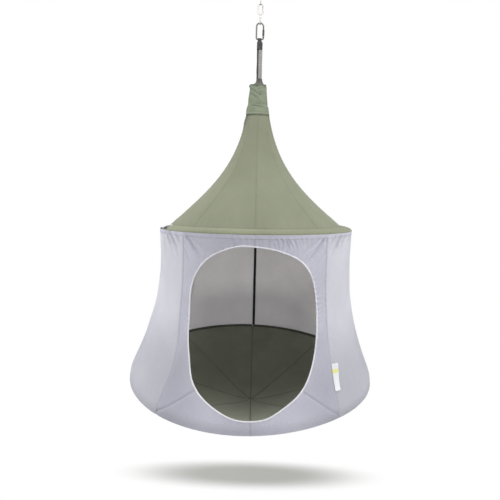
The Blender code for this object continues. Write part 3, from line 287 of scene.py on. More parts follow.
def makeLight(sizes):
    world = bpy.data.worlds.new("paleStudio")
    bpy.context.scene.world = world
    world.use_nodes = True
    tree = world.node_tree
    tree.nodes.clear()
    strength = addNode(tree, "ShaderNodeMapRange", {"Value": seenShare(tree), "To Min": sizes["world"],
                                                    "To Max": 1.0})
    glow = addNode(tree, "ShaderNodeBackground", {"Color": (1, 1, 1, 1), "Strength": strength})
    addNode(tree, "ShaderNodeOutputWorld", {"Surface": glow})
    target = Vector((0, 0, hoopHeight + sizes["target"]))
    for name, (place, size, watts) in sizes["lamps"].items():
        data = bpy.data.lights.new(name, "AREA")
        data.size = size
        data.energy = watts
        lamp = bpy.data.objects.new(name, data)
        lamp.location = target + Vector(place)
        lamp.rotation_euler = (target - lamp.location).to_track_quat("-Z", "Y").to_euler()
        lamp.visible_camera = False
        bpy.context.scene.collection.objects.link(lamp)


floorSizes = {
    "underHoop": 0.72, "half": 14.0,
    "shadowPool": (1 / 0.95, 1 / 0.15, 0.0),  # the painted shadow pool burns out at these distances, in metres
    "burn": (0.30, 1.0),                # from and to these shares of them
    # the grey of the painted shadow pool
    "shadowGrey": (0.56, 0.557, 0.545, 1),
}


def makeFloor(sizes):
    # white paper, painted grey in a thin pool under the pod as a painted shadow that the pod's own shadow also falls
    # on; further off it burns out into the white behind it
    half, z = sizes["half"], hoopHeight - sizes["underHoop"]
    mesh = bpy.data.meshes.new("studioFloor")
    mesh.from_pydata([(-half, -half, z), (half, -half, z), (half, half, z), (-half, half, z)], [], [(0, 1, 2, 3)])
    floor = bpy.data.objects.new("studioFloor", mesh)
    bpy.context.scene.collection.objects.link(floor)
    material, tree = newMaterial("paleStudioFloor")
    here = addNode(tree, "ShaderNodeTexCoord").outputs["Object"]
    flat = addNode(tree, "ShaderNodeVectorMath", {0: here, 1: sizes["shadowPool"]}, operation="MULTIPLY")
    away = addNode(tree, "ShaderNodeVectorMath", {0: flat}, operation="LENGTH").outputs["Value"]
    burn = addNode(tree, "ShaderNodeMapRange", {"Value": away, "From Min": sizes["burn"][0],
                                                "From Max": sizes["burn"][1]}, interpolation_type="SMOOTHSTEP")
    burnt = addNode(tree, "ShaderNodeMath", {0: burn, 1: seenShare(tree)}, operation="MULTIPLY")
    shadowGrey = addNode(tree, "ShaderNodeBsdfDiffuse", {"Color": sizes["shadowGrey"]})
    white = addNode(tree, "ShaderNodeEmission", {"Strength": 1.0})
    closeMaterial(tree, addNode(tree, "ShaderNodeMixShader", {0: burnt, 1: shadowGrey, 2: white}))
    mesh.materials.append(material)


makeCamera(viewSizes)
makeLight(lightSizes)
makeFloor(floorSizes)
bpy.context.scene.view_settings.view_transform = "Standard"
print("camera, light and floor made")


# Meshes from grids of points

def linkMesh(name, mesh, materials, body, sharp=None):
    # the object for a finished mesh, riding on its body. sharp is the angle past which an edge stays crisp
    item = bpy.data.objects.new(name, mesh)
    bpy.context.scene.collection.objects.link(item)
    for material in materials:
        mesh.materials.append(material)
    mesh.shade_smooth()
    if sharp is not None:
        mesh.set_sharp_from_angle(angle=math.radians(sharp))
    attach(item, body)
    return item


def gridMesh(name, points, uv=None, shade=None, closedRound=False, closedAlong=False, flip=False):
    # rows run down and columns run to the right, as seen from outside
    rows, columns = points.shape[:2]
    index = np.arange(rows * columns).reshape(rows, columns)
    if closedRound:
        index = np.concatenate([index, index[:, :1]], axis=1)
    if closedAlong:
        index = np.concatenate([index, index[:1]], axis=0)
    faces = np.stack([index[:-1, :-1], index[1:, :-1], index[1:, 1:], index[:-1, 1:]], axis=-1).reshape(-1, 4)
    if flip:
        faces = faces[:, ::-1]
    mesh = bpy.data.meshes.new(name)
    mesh.from_pydata(points.reshape(-1, 3).tolist(), [], faces.tolist())
    if uv is not None:
        layer = mesh.uv_layers.new(name="UVMap")
        corners = np.empty(len(mesh.loops), np.int32)
        mesh.loops.foreach_get("vertex_index", corners)
        layer.data.foreach_set("uv", uv.reshape(-1, 2)[corners].astype(np.float32).ravel())
    if shade is not None:
        attribute = mesh.attributes.new("seamShade", "FLOAT", "POINT")
        attribute.data.foreach_set("value", shade.astype(np.float32).ravel())
    return mesh


def thicken(item, thickness, inner=None):
    # cloth gets its thickness on its inner side
    solid = item.modifiers.new("cloth", "SOLIDIFY")
    solid.thickness = thickness
    solid.offset = -1
    if inner is not None:
        item.data.materials.append(inner)
        solid.material_offset = 1


def dressed(item, node):
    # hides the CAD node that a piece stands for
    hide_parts(node)
    return item


def rigid(mesh, material, body, node, sharp=40):
    return dressed(linkMesh(mesh.name, mesh, [material], body, sharp), node)


def soft(mesh, materials, node, thickness, inner=None):
    # cloth on the pod. inner is the material of its inner face, where that differs
    item = linkMesh(mesh.name, mesh, materials, "pod")
    thicken(item, thickness, inner)
    return dressed(item, node)


def ramp(value, start, span):
    # 0 up to the start, 1 a span further on, and even between them. With a negative span it falls
    return np.clip((value - start) / span, 0, 1)


def hump(value, middle, spread):
    # a smooth bump: 1 in its middle, and nearly gone two spreads away
    return np.exp(-((value - middle) / spread) ** 2)


def walkedAlong(points):
    # the way walked along a chain of points, at each of them
    return np.concatenate([[0], np.cumsum(np.linalg.norm(np.diff(points, axis=0), axis=1))])


def stacked(*parts):
    # coordinates side by side, such as x and y or u and v
    return np.stack(np.broadcast_arrays(*parts), axis=-1)


def unit(ways):
    return ways / np.linalg.norm(ways, axis=-1, keepdims=True)


def turnAngles(count):
    return np.linspace(0, 2 * np.pi, count, endpoint=False)


def fractions(count, edges=(0.004, 0.009, 0.016, 0.026)):
    # even steps from 0 to 1, with finer ones at both ends for the sewn edges
    inside = np.linspace(edges[-1], 1 - edges[-1], count)
    return np.concatenate([[0], edges[:-1], inside, 1 - np.array(edges[:-1])[::-1], [1]])


def waves(x, y, wavelength, seed, count=8):
    # smooth uneven hills about one wavelength apart, from -1 to 1
    random = np.random.default_rng(seed)
    total = np.zeros(np.broadcast(x, y).shape)
    for _ in range(count):
        angle, phase = random.uniform(0, 2 * np.pi, 2)
        step = 2 * np.pi / (wavelength * random.uniform(0.7, 1.5))
        total = total + np.sin(step * (np.cos(angle) * x + np.sin(angle) * y) + phase)
    return total / math.sqrt(count * 2)


def crease(x, y, start, end, width):
    # a straight fold between two places, strongest near its start
    dx, dy = end[0] - start[0], end[1] - start[1]
    length = math.hypot(dx, dy)
    along = ((x - start[0]) * dx + (y - start[1]) * dy) / length ** 2
    across = ((x - start[0]) * dy - (y - start[1]) * dx) / length
    near = across / width
    return ramp(along, 0, 0.12) * ramp(along, 1, -0.6) * np.exp(-near ** 2) * (1 - 0.6 * near)


# Shape of the pod, in metres above the hoop

podSizes = {
    "wallHeight": 0.880, "eaveRadius": 0.604,
    "waistHeight": 0.680, "waistRadius": 0.5991,
    "skirtRadius": 0.7505, "skirtTop": 0.0305, "skirtBottom": -0.006, "skirtEase": 0.02, "wallPower": 2.05,
    "brimRadius": 0.536, "brimRise": 0.025,
    "roofTopRadius": 0.0710, "roofHeight": 0.735,
    "neckHandle": (0.128, 0.476), "footHandle": (0.567, 0.333),  # shares of the roof's run and of its height
    "hoopRadius": 0.732, "hoopTube": 0.0125, "sleeve": 0.0148,
    "floorRim": 0.7169, "floorSag": 0.225, "floorRounding": 0.12,
    "cloth": 0.0012,
}
doorSeam, sideSeam, rearSeam = 38.5, 85.0, 132.0
seamAzimuths = (-180.0, -rearSeam, -sideSeam, -doorSeam, 0.0, doorSeam, sideSeam, rearSeam, 180.0)
nodeNames = ("back_left", "rear_left", "side_left", "front_left",
             "front_right", "side_right", "rear_right", "back_right")
gores = [(node.title().replace("_", ""), node, low, high)
         for node, low, high in zip(nodeNames, seamAzimuths, seamAzimuths[1:])]

settleSizes = {
    "from": 0.68,                    # the height below which the pod follows its hoop
    "flat": (0.0452, 29.6, 41.0),    # how far the hoop is pressed in, and the middle and spread of that, in degrees
    "tilt": (-0.0185, 0.0084),       # rise of the hoop for each metre along X and Y
    "lean": (0.0080, 0.700, 0.32),   # sideways give of the wall's flanks, and its height and spread
    "slide": (3.1, 0.25, 0.17),      # slide of the left door seam, in degrees, and its height and spread
    "eave": (0.0058, 0.0095, 0.16),  # lift of the eave, its rise for each metre along X, and the spread
    "eaveDip": (0.007, -88, 17),     # dip of the wall's top edge at the scallop, and its middle and spread
}


def podPoint(azimuth, radius, height):
    # azimuth in degrees from the door, towards +X. The hung cloth is a little out of round and out of level
    s = settleSizes
    low = np.clip((s["from"] - height) / s["from"], 0, 1.05)
    turned = (np.asarray(azimuth) + 180) % 360 - 180
    slide, middle, spread = s["slide"]
    turned = turned + slide * ramp(turned, -25, -13) * ramp(turned, -62, 23) * hump(height, middle, spread)
    angle = np.radians(turned)
    depth, middle, spread = s["flat"]
    pressed = depth * hump(turned, middle, spread) * low ** 2 * ramp(radius, 0, 0.7)
    x, y = (radius - pressed) * np.sin(angle), -(radius - pressed) * np.cos(angle)
    z = height + hoopHeight + low * (s["tilt"][0] * x + s["tilt"][1] * y)
    give, middle, spread = s["lean"]
    x = x + give * hump(height, middle, spread) * np.sin(angle) ** 2
    lift, slope, spread = s["eave"]
    z = z + (lift + slope * x) * hump(height, podSizes["wallHeight"], spread)
    return stacked(x, y, z)


def roofCurve(share):
    # from the neck, at 0, to the brim, at 1: the cubic that the CAD roof follows
    s = podSizes
    run, rise, foot = s["brimRadius"] - s["roofTopRadius"], s["roofHeight"], s["wallHeight"] + s["brimRise"]
    control = np.array([
        (s["roofTopRadius"], foot + rise),
        (s["roofTopRadius"] + s["neckHandle"][0] * run, foot + rise - s["neckHandle"][1] * rise),
        (s["brimRadius"] - s["footHandle"][0] * run, foot + s["footHandle"][1] * rise),
        (s["brimRadius"], foot)])
    t = np.asarray(share, float)[..., None]
    weights = np.concatenate([(1 - t) ** 3, 3 * t * (1 - t) ** 2, 3 * t ** 2 * (1 - t), t ** 3], axis=-1)
    place = weights @ control
    return place[..., 0], place[..., 1]


def brimCurve(turn):
    # a quarter ellipse: at 0 it leaves the roof, at 1 it meets the wall
    s = podSizes
    angle = np.asarray(turn) * np.pi / 2
    reach = s["eaveRadius"] - s["brimRadius"]
    return s["brimRadius"] + reach * np.sin(angle), s["wallHeight"] + s["brimRise"] * np.cos(angle)


def wallRadius(height):
    s = podSizes
    h = np.asarray(height, float)
    above = s["waistRadius"] + (s["eaveRadius"] - s["waistRadius"]) * \
        (np.clip(h - s["waistHeight"], 0, None) / (s["wallHeight"] - s["waistHeight"])) ** 2
    over, ease = h - s["skirtTop"], s["skirtEase"]
    over = (over + np.sqrt(over ** 2 + ease ** 2)) / 2  # the wall turns softly down over its hoop
    fall = np.clip(1 - over / (s["waistHeight"] - s["skirtTop"]), 0, 1)
    return above + (s["skirtRadius"] - s["waistRadius"]) * fall ** s["wallPower"]


def floorHeight(radius):
    s = podSizes
    end = math.hypot(1, s["floorRounding"])
    share = (end - np.hypot(radius / s["floorRim"], s["floorRounding"])) / (end - s["floorRounding"])
    return -s["floorSag"] * share


def meridian(curve, parameter, out, step=1e-4):
    # moves points of a (radius, height) curve out along the curve's own normal
    r1, h1 = curve(parameter - step)
    r2, h2 = curve(parameter + step)
    length = np.hypot(r2 - r1, h2 - h1) * np.where(h2 > h1, -1, 1)  # a curve that climbs is read downwards
    radius, height = curve(parameter)
    return radius - out * (h2 - h1) / length, height + out * (r2 - r1) / length


def eaveDip(azimuth, height):
    depth, middle, spread = settleSizes["eaveDip"]
    return depth * hump(azimuth, middle, spread) * ramp(height, 0.78, 0.10)


def wallCurve(height):
    return wallRadius(height), np.asarray(height, float)


def seamDistance(azimuth, radius, seams=seamAzimuths):
    # signed distance along the cloth to the nearest seam, and that seam
    gaps = np.stack([np.radians(azimuth - seam) * radius for seam in seams])
    nearest = np.abs(gaps).argmin(axis=0)
    return np.take_along_axis(gaps, nearest[None], axis=0)[0], np.array(seams)[nearest]


def seamShade(azimuth, radius, seams=seamAzimuths, width=0.0035):
    return hump(seamDistance(azimuth, radius, seams)[0], 0, width)


def wallWay(azimuth):
    # the way round the wall, in metres
    return np.radians(azimuth) * 0.6


def goreShare(azimuth):
    # 0 at one seam of a gore and 1 at the next
    seams = np.array(seamAzimuths)
    place = np.clip(np.searchsorted(seams, azimuth, side="right") - 1, 0, len(seams) - 2)
    return (azimuth - seams[place]) / (seams[place + 1] - seams[place])


# The door

doorSizes = {
    "halfWidth": 0.331, "top": 0.827, "bottom": 0.057, "widest": 0.470, "power": 2.8,
    "bindingWidth": 0.0064, "bindingProud": 0.0020,
    "sillCorner": 0.010, "sillApex": 0.333,
    # where the cloth's pull draws the edge in: (angle, distance), each over about 15 degrees
    "pulls": ((20, 0.0038), (40, 0.0039), (60, 0.0144), (80, 0.0052), (100, -0.0028), (120, 0.0080), (140, 0.0040),
              (160, -0.0036), (180, -0.0016), (200, -0.0087), (220, -0.0090), (240, 0.0061), (260, -0.0058),
              (280, -0.0055), (300, 0.0141), (320, -0.0028), (340, -0.0053)),
    "pullSpread": 15.0,
}
sillCornerX = float(wallRadius(doorSizes["sillCorner"])) * math.sin(math.radians(doorSeam))
sillSlope = (doorSizes["sillApex"] - doorSizes["sillCorner"]) / sillCornerX


def doorOutline(angle, drawIn=0.0):
    # (x, height) of the door's edge. Angle 90 degrees is its top and 0 its right side
    d = doorSizes
    sine, cosine = np.sin(np.radians(angle)), np.cos(np.radians(angle))
    halfHeight = np.where(sine > 0, d["top"] - d["widest"], d["widest"] - d["bottom"])
    share = (np.abs(cosine) ** d["power"] + np.abs(sine) ** d["power"]) ** (-1 / d["power"])
    for place, pull in d["pulls"]:
        drawIn = drawIn + pull * hump((np.asarray(angle) - place + 180) % 360, 180, d["pullSpread"])
    return cosine * share * (d["halfWidth"] - drawIn), d["widest"] + sine * share * (halfHeight - drawIn)


def evenAngles(start, end, count):
    # angles that step evenly along the door's edge, and that edge's length
    fine = np.linspace(start, end, 2000)
    walked = walkedAlong(stacked(*doorOutline(fine)))
    return np.interp(np.linspace(0, walked[-1], count), walked, fine), walked[-1]


def sillHeight(x):
    # the slanting seams between the front panels and the sill panel
    return doorSizes["sillApex"] - sillSlope * np.abs(x)


def sillDistance(x, height):
    return (height - sillHeight(x)) / math.hypot(1, sillSlope)


def chart(x, height):
    # the azimuth of a place on the front wall from its x
    return np.degrees(np.arcsin(np.clip(x / wallRadius(height), -1, 1)))


ringCount = 720
ringAngles, ringLength = evenAngles(-180, 180, ringCount + 1)
ringX, ringH = doorOutline(ringAngles)


def doorDistance(x, height):
    # distance from the door's edge, and the way walked along that edge to the nearest place
    distance = np.full(x.shape, 9.0)
    walked = np.zeros(x.shape)
    for index in range(0, ringCount, 2):
        here = np.hypot(x - ringX[index], height - ringH[index])
        closer = here < distance
        distance[closer] = here[closer]
        walked[closer] = ringLength * index / ringCount
    return distance, walked


# Relief of the cloth, in metres outwards

reliefSizes = {
    "seamDepth": 0.0017, "seamWidth": 0.0058,
    "wallSag": 0.010, "wallHills": 0.0020,
    "pucker": 0.0019, "puckerReach": 0.042, "puckerStep": 0.025,           # beside the wall's seams
    "eaveFold": 0.0020, "eaveFoldReach": 0.045, "eaveFoldStep": 0.034,
    "doorPucker": 0.0016, "doorPuckerReach": 0.022, "doorPuckerStep": 0.024,
    "headRipple": 0.0020, "headRippleStep": 0.023,                         # over the door, right of its middle
    "roofSag": 0.007, "roofHills": 0.0012,
    "roofPucker": 0.0006, "roofPuckerReach": 0.025, "roofPuckerStep": 0.024,
    "neckFold": 0.0010, "neckFoldReach": 0.10, "neckFolds": 5,             # in each gore
    "footFold": 0.0014, "footFoldReach": 0.07, "footFoldStep": 0.055,
    "creaseTop": 0.868, "creases": 6, "creaseDrop": (0.07, 0.20), "creaseSlant": (0.25, 0.7),
    "creaseWidth": (0.008, 0.014), "creaseDepth": (0.0022, 0.0050),
    # the pull from each upper corner of the front to the door's shoulder, and its smaller neighbours:
    # azimuth and height of the start and of the end, width, depth
    "pulls": ((37.8, 0.872, 24.0, 0.710, 0.011, 0.0120), (34.5, 0.868, 22.5, 0.775, 0.008, 0.0055),
              (52.0, 0.874, 41.5, 0.745, 0.010, 0.0150), (57.5, 0.874, 46.5, 0.750, 0.009, 0.0115),
              (45.5, 0.872, 39.5, 0.790, 0.007, 0.0080), (38.0, 0.800, 31.0, 0.690, 0.008, 0.0030),
              (38.0, 0.650, 33.0, 0.560, 0.008, 0.0026), (38.0, 0.560, 33.5, 0.480, 0.007, 0.0024),
              (38.0, 0.455, 33.0, 0.350, 0.007, 0.0022)),
}


def wallCreases(s):
    # slack lines on the sides, which run down from the eave and forwards, then the pulls of both front corners
    random = np.random.default_rng(7)
    creases = []
    for low, high in zip(seamAzimuths, seamAzimuths[1:]):
        toFront = -1 if low >= 0 else 1
        middle, half = (low + high) / 2, (high - low) / 2
        for _ in range(s["creases"]):
            x = wallWay(middle + toFront * half * random.uniform(-0.9, 0.5))
            drop = random.uniform(*s["creaseDrop"])
            slant = toFront * random.uniform(*s["creaseSlant"]) * drop
            if abs(middle) > doorSeam:
                creases.append(((x, s["creaseTop"]), (x + slant, s["creaseTop"] - drop),
                                random.uniform(*s["creaseWidth"]), random.uniform(*s["creaseDepth"])))
    for side in (-1, 1):
        for start, top, end, bottom, width, depth in s["pulls"]:
            creases.append(((side * wallWay(start), top), (side * wallWay(end), bottom), width, depth))
    return creases


creaseLines = wallCreases(reliefSizes)


def wallRelief(azimuth, height):
    s = reliefSizes
    azimuth, height = np.broadcast_arrays(azimuth, height)
    distance, seam = seamDistance(azimuth, wallRadius(height))
    away = np.abs(distance)
    x, y = wallWay(azimuth), height
    inside = ramp(height, 0.862, -0.03) * ramp(height, 0.03, 0.08)
    relief = -s["seamDepth"] * hump(distance, 0, s["seamWidth"])
    uneven = 0.5 + 0.5 * np.clip(waves(seam * 0.03, y, 0.16, 11) * 1.6, -1, 1)
    puckers = np.sin(2 * np.pi * (y + 0.8 * away) / s["puckerStep"] + 2.2 * waves(x, y, 0.12, 12))
    weaker = np.clip((height - 0.32) / 0.15, 0.25, 1)
    relief = relief + s["pucker"] * uneven * np.exp(-away / s["puckerReach"]) * puckers * inside * weaker
    belly = np.sin(np.pi * np.clip(goreShare(azimuth), 0, 1)) * np.sin(np.pi * np.clip(y / 0.88, 0, 1)) ** 0.7
    relief = relief - s["wallSag"] * belly
    relief = relief + s["wallHills"] * waves(x, y, 0.22, 13) * inside * ramp(away, 0, 0.05)
    folds = np.sin(2 * np.pi * x / s["eaveFoldStep"] + 2.6 * waves(x, y, 0.15, 14))
    folds = folds * (0.4 + 0.6 * np.clip(waves(x, y * 0, 0.3, 15), 0, 1)) * ramp(height, 0.872, -0.012)
    relief = relief + s["eaveFold"] * folds * np.exp(-np.clip(0.858 - height, 0, None) / s["eaveFoldReach"])
    for start, end, width, depth in creaseLines:
        relief = relief - depth * crease(x, y, start, end, width)
    return relief


def frontRelief(azimuth, height):
    # the wall's relief, with the puckers along the door's edge and the slanting seams of the sill
    s = reliefSizes
    x, way = wallRadius(height) * np.sin(np.radians(azimuth)), wallWay(azimuth)
    distance, walked = doorDistance(x, height)
    uneven = 0.55 + 0.45 * np.clip(waves(walked, 0 * walked, 0.25, 21) * 1.5, -1, 1)
    puckers = np.sin(2 * np.pi * walked / s["doorPuckerStep"] + 1.8 * waves(walked, distance, 0.1, 22))
    fade = np.exp(-distance / s["doorPuckerReach"]) * np.clip(height / 0.5, 0.35, 1)
    relief = wallRelief(azimuth, height) + s["doorPucker"] * uneven * fade * puckers
    ripple = np.sin(2 * np.pi * (way + 0.3 * height) / s["headRippleStep"] + 2.4 * waves(way, height, 0.07, 23))
    fade = hump(azimuth, 16, 9) * ramp(height, 0.80, 0.03) * ramp(height, 0.872, -0.02)
    relief = relief + s["headRipple"] * fade * ripple
    lowFront = (np.abs(azimuth) < doorSeam + 0.01) & (height < 0.3)
    return relief - np.where(lowFront, s["seamDepth"] * hump(sillDistance(x, height), 0, s["seamWidth"]), 0)


def roofRelief(azimuth, share):
    s = reliefSizes
    azimuth, share = np.broadcast_arrays(azimuth, share)
    radius, y = roofCurve(share)
    distance = seamDistance(azimuth, radius)[0]
    away, gore = np.abs(distance), np.clip(goreShare(azimuth), 0, 1)
    x, belly = np.radians(azimuth) * radius, np.sin(np.pi * gore)
    inside = ramp(share, 0, 0.05) * ramp(share, 1, -0.02)
    relief = -s["seamDepth"] * hump(distance, 0, s["seamWidth"])
    relief = relief - s["roofSag"] * belly * np.sin(np.pi * share ** 0.8) ** 0.8
    relief = relief + s["roofHills"] * waves(x, y, 0.2, 31) * inside * ramp(away, 0, 0.05)
    puckers = np.sin(2 * np.pi * (y + 0.8 * away) / s["roofPuckerStep"] + 2 * waves(x, y, 0.14, 32))
    relief = relief + s["roofPucker"] * np.exp(-away / s["roofPuckerReach"]) * puckers * inside
    folds = np.sin(2 * np.pi * gore * s["neckFolds"] + 1.5 * waves(x, y, 0.1, 33)) * belly
    relief = relief + s["neckFold"] * np.exp(-share / s["neckFoldReach"]) * folds * inside
    folds = np.sin(2 * np.pi * x / s["footFoldStep"] + 2.5 * waves(x, y, 0.2, 34)) * ramp(away, 0, 0.03)
    return relief + s["footFold"] * np.exp(-(1 - share) / s["footFoldReach"]) * folds * inside


# Roof

roofSizes = {
    "seamShade": 0.45, "footShade": (0.6, 0.004),  # how dark, and how wide in metres
    "hemShade": (3.5, 0.002, 0.0055),              # painted shadow just under the collar's hem: how dark, how far down, its spread
    "flanks": ((3.6, -74, 24, 0.065), (1.5, 82, 14, 0.10)),  # and painted shade down both flanks: azimuth, spread, reach down
    "looseFold": (0.006, -86, 22, 0.045, 0.04),    # metres out, azimuth and spread, metres under the hem and spread
    "length": 0.9, "mean": 0.46,                   # of a gore, and its mean width as a share of its foot's
}
collarHemSizes = {"hem": 1.621, "frontDrop": 0.011}


def collarHem(azimuth):
    # height of the collar's lower edge, which hangs lower in front
    return collarHemSizes["hem"] - collarHemSizes["frontDrop"] * np.cos(np.radians(azimuth))


def roofGore(name, node, low, high, s):
    azimuth, share = np.broadcast_arrays(low + (high - low) * fractions(52)[None, :], fractions(120)[:, None])
    radius, height = meridian(roofCurve, share, roofRelief(azimuth, share))
    plain, level = roofCurve(share)
    down = walkedAlong(stacked(plain[:, 0], level[:, 0]))[:, None] * np.ones_like(azimuth)
    uv = stacked(np.radians(azimuth - (low + high) / 2) * plain, -down)
    underHem = collarHem(azimuth) - height
    out, place, spread, under, reach = s["looseFold"]
    radius = radius + out * hump(azimuth, place, spread) * hump(underHem, under, reach)
    foot = s["footShade"][0] * hump((1 - share) * s["length"], 0, s["footShade"][1])
    shade = np.maximum(s["seamShade"] * seamShade(azimuth, plain), foot)
    # painted shadow under the collar's hem, and painted shade down both flanks
    shade = shade + s["hemShade"][0] * hump(underHem, *s["hemShade"][1:])
    for dark, place, spread, reach in s["flanks"]:
        shade = shade + dark * hump(azimuth, place, spread) * np.exp(-np.clip(underHem, 0, None) / reach)
    mesh = gridMesh(name, podPoint(azimuth, radius, height), uv, shade)
    item = soft(mesh, [oliveCanvas], "roof_" + node, podSizes["cloth"])


for name, node, low, high in gores:
    roofGore("roof" + name, node, low, high, roofSizes)
print("roof gores made")


# Walls

wallSizes = {
    "sideLowShade": 0.95, "behind": 0.55,      # painted shade low on the sides, and low at the back
    "sillSeam": (1.0, 0.0035), "middleSeam": 0.4,
    "shoulder": (0.22, 0.52, 0.2),        # painted shade on the right front panel round this height, over this spread
}


def wallShade(azimuth, height):
    # darker along the seams, and painted shade low on the sides and low at the back
    away = np.abs(azimuth)
    lowSideMask = ramp(height, 0.50, -0.34) * ramp(away, 12, 22) * ramp(away, 130, -30)
    sideLowShade = wallSizes["sideLowShade"] * lowSideMask ** 2 * (3 - 2 * lowSideMask)
    behind = wallSizes["behind"] * ramp(height, 0.42, -0.16) * ramp(away, 125, 20)
    return np.maximum(seamShade(azimuth, wallRadius(height)), np.maximum(sideLowShade, behind))


def wallPanel(name, node, azimuth, height, relief, shade, cloth, dip=0.0, flip=False):
    # one panel from its places on the wall: pushed out by its relief, thickened, and pale inside
    radius, z = meridian(wallCurve, height, relief)
    uv = stacked(np.radians(azimuth) * wallRadius(height), height)
    mesh = gridMesh(name, podPoint(azimuth, radius, z - dip), uv, shade, flip=flip)
    return soft(mesh, [cloth], node, podSizes["cloth"], innerCotton)


def wallGore(name, node, low, high):
    s = podSizes
    azimuth, share = np.broadcast_arrays(low + (high - low) * fractions(70)[None, :], fractions(130)[:, None])
    height = s["wallHeight"] + (s["skirtBottom"] - s["wallHeight"]) * share
    item = wallPanel(name, "wall_" + node, azimuth, height, wallRelief(azimuth, height), wallShade(azimuth, height),
                     litSideCotton, eaveDip(azimuth, height))


for name, node, low, high in gores:
    if max(abs(low), abs(high)) > doorSeam:
        wallGore("wall" + name, node, low, high)


def walk(points, count):
    # even steps along a chain of chart points (azimuth, height)
    points = np.array(points, float)
    walked = walkedAlong(points * (math.radians(1) * 0.65, 1))
    even = np.linspace(0, walked[-1], count) if np.isscalar(count) else count * walked[-1]
    return np.stack([np.interp(even, walked, points[:, axis]) for axis in (0, 1)], axis=-1)


def patch(first, last, start, end, rowShares, columnShares):
    # a sheet stretched between four edges: first and last run along the columns, start and end down the rows
    v, u = rowShares[:, None, None], columnShares[None, :, None]
    ruled = (1 - v) * first[None] + v * last[None] + (1 - u) * start[:, None] + u * end[:, None]
    corners = (1 - v) * ((1 - u) * first[0] + u * first[-1]) + v * ((1 - u) * last[0] + u * last[-1])
    return ruled - corners


sillAngle, sillMeet = {}, {}  # where the sill's slanting seams meet the door's edge
for side in (1, -1):
    fineAngles = np.linspace(0, -89, 4000)
    fineX, fineH = doorOutline(fineAngles if side > 0 else 180 - fineAngles)
    crossing = int(np.argmin(np.abs(fineH - sillHeight(fineX))))
    sillAngle[side], sillMeet[side] = float(fineAngles[crossing]), float(side * fineX[crossing])


def doorEdge(start, end, count, side=1):
    # the edge as chart points to the right of the door's middle. Its left half is given mirrored
    first, last = (start, end) if side > 0 else (180 - start, 180 - end)
    angles, _ = evenAngles(first, last, count)
    x, height = doorOutline(angles)
    return stacked(chart(side * x, height), height)


def frontPanel(name, node, side, s):
    columnShares, rowShares = fractions(210, (0.002, 0.005, 0.009)), fractions(46, (0.006, 0.016, 0.03, 0.05))
    inner = walk(doorEdge(90, sillAngle[side], 600, side), columnShares)
    top, bottom = podSizes["wallHeight"], doorSizes["sillCorner"]
    outer = walk([(0, top)] + [(doorSeam, h) for h in np.linspace(top, bottom, 60)], columnShares)
    above = walk([outer[0], inner[0]], rowShares)
    slant = [(chart(x, sillHeight(x)), sillHeight(x)) for x in np.linspace(sillCornerX, sillMeet[side], 60)]
    slant[0], slant[-1] = tuple(outer[-1]), tuple(inner[-1])
    place = patch(outer, inner, above, walk(slant, rowShares), rowShares, columnShares)
    azimuth, height = side * place[..., 0], place[..., 1]
    sill = sillDistance(wallRadius(height) * np.sin(np.radians(azimuth)), height)
    dark, width = s["sillSeam"]
    shade = np.maximum(wallShade(azimuth, height), np.where(height < 0.3, dark * hump(sill, 0, width), 0))
    # painted shade on the middle of the right front panel
    if side > 0:
        shade = shade + s["shoulder"][0] * hump(height, *s["shoulder"][1:])
    item = wallPanel(name, "wall_" + node, azimuth, height, frontRelief(azimuth, height), shade, paleCotton,
                     flip=side < 0)


def sillPanel(s):
    columnShares, rowShares = fractions(160, (0.002, 0.005, 0.009)), fractions(60, (0.006, 0.016, 0.03))
    halves = {side: doorEdge(sillAngle[side], -90, 400, side) for side in (1, -1)}
    corner, foot = doorSizes["sillCorner"], podSizes["skirtBottom"]
    top = walk(np.concatenate([halves[-1] * (-1, 1), halves[1][::-1][1:]]), columnShares)
    bottom = walk([(-doorSeam, foot), (doorSeam, foot)], columnShares)
    slants = {}
    for side, start in ((1, top[-1]), (-1, top[0] * (-1, 1))):
        heights = np.linspace(float(start[1]), corner, 60)
        x = (doorSizes["sillApex"] - heights) / sillSlope
        slant = [tuple(start)] + list(zip(chart(x, heights), heights))[1:] + [(doorSeam, foot)]
        slants[side] = walk(slant, rowShares) * (side, 1)
    place = patch(top, bottom, slants[-1], slants[1], rowShares, columnShares)
    azimuth, height = place[..., 0], place[..., 1]
    plain, (dark, width) = wallRadius(height), s["sillSeam"]
    sill = dark * hump(sillDistance(plain * np.sin(np.radians(azimuth)), height), 0, width)
    middle = s["middleSeam"] * seamShade(azimuth, plain, (0.0,))
    shade = np.maximum(sill, np.maximum(middle, wallShade(azimuth, height)))
    item = wallPanel("sillPanel", "sill_panel", azimuth, height, frontRelief(azimuth, height), shade, paleCotton)


frontPanel("wallFrontRight", "front_right", 1, wallSizes)
frontPanel("wallFrontLeft", "front_left", -1, wallSizes)
sillPanel(wallSizes)
print("walls made")


# Brim

brimSizes = {
    "scallopAzimuth": -86.5, "scallopArc": 31.0, "scallopDepth": 0.045,
    "gather": 0.0009, "gatherStep": 0.021, "hills": 0.0016,
    "felled": (0.0009, 0.05, 0.035),  # the hem that joins it to the roof: how proud, its place and spread
    # painted shade: a shadow line just below the felled hem, a dark lower edge, and the right side darker
    "hemShade": (0.4, 0.105, 0.02), "edgeShade": (1.2, 1, 0.05), "rightShade": 0.9,
}


def scallopReach(azimuth):
    # how far out the brim's cloth reaches at an azimuth
    s, eave = brimSizes, podSizes["eaveRadius"]
    arc, depth = math.radians(s["scallopArc"]), s["scallopDepth"]
    halfChord = eave * math.sin(arc)
    radius = (halfChord ** 2 + depth ** 2) / (2 * depth)
    centre = eave * math.cos(arc) - depth + radius
    turn = np.radians(azimuth - s["scallopAzimuth"])
    side = np.clip(radius ** 2 - (centre * np.sin(turn)) ** 2, 0, None)
    bitten = centre * np.cos(turn) - np.sqrt(side)
    inBite = (np.abs(azimuth - s["scallopAzimuth"]) < s["scallopArc"]) & (np.cos(turn) > 0)
    return np.where(inBite, np.minimum(bitten, eave), eave)


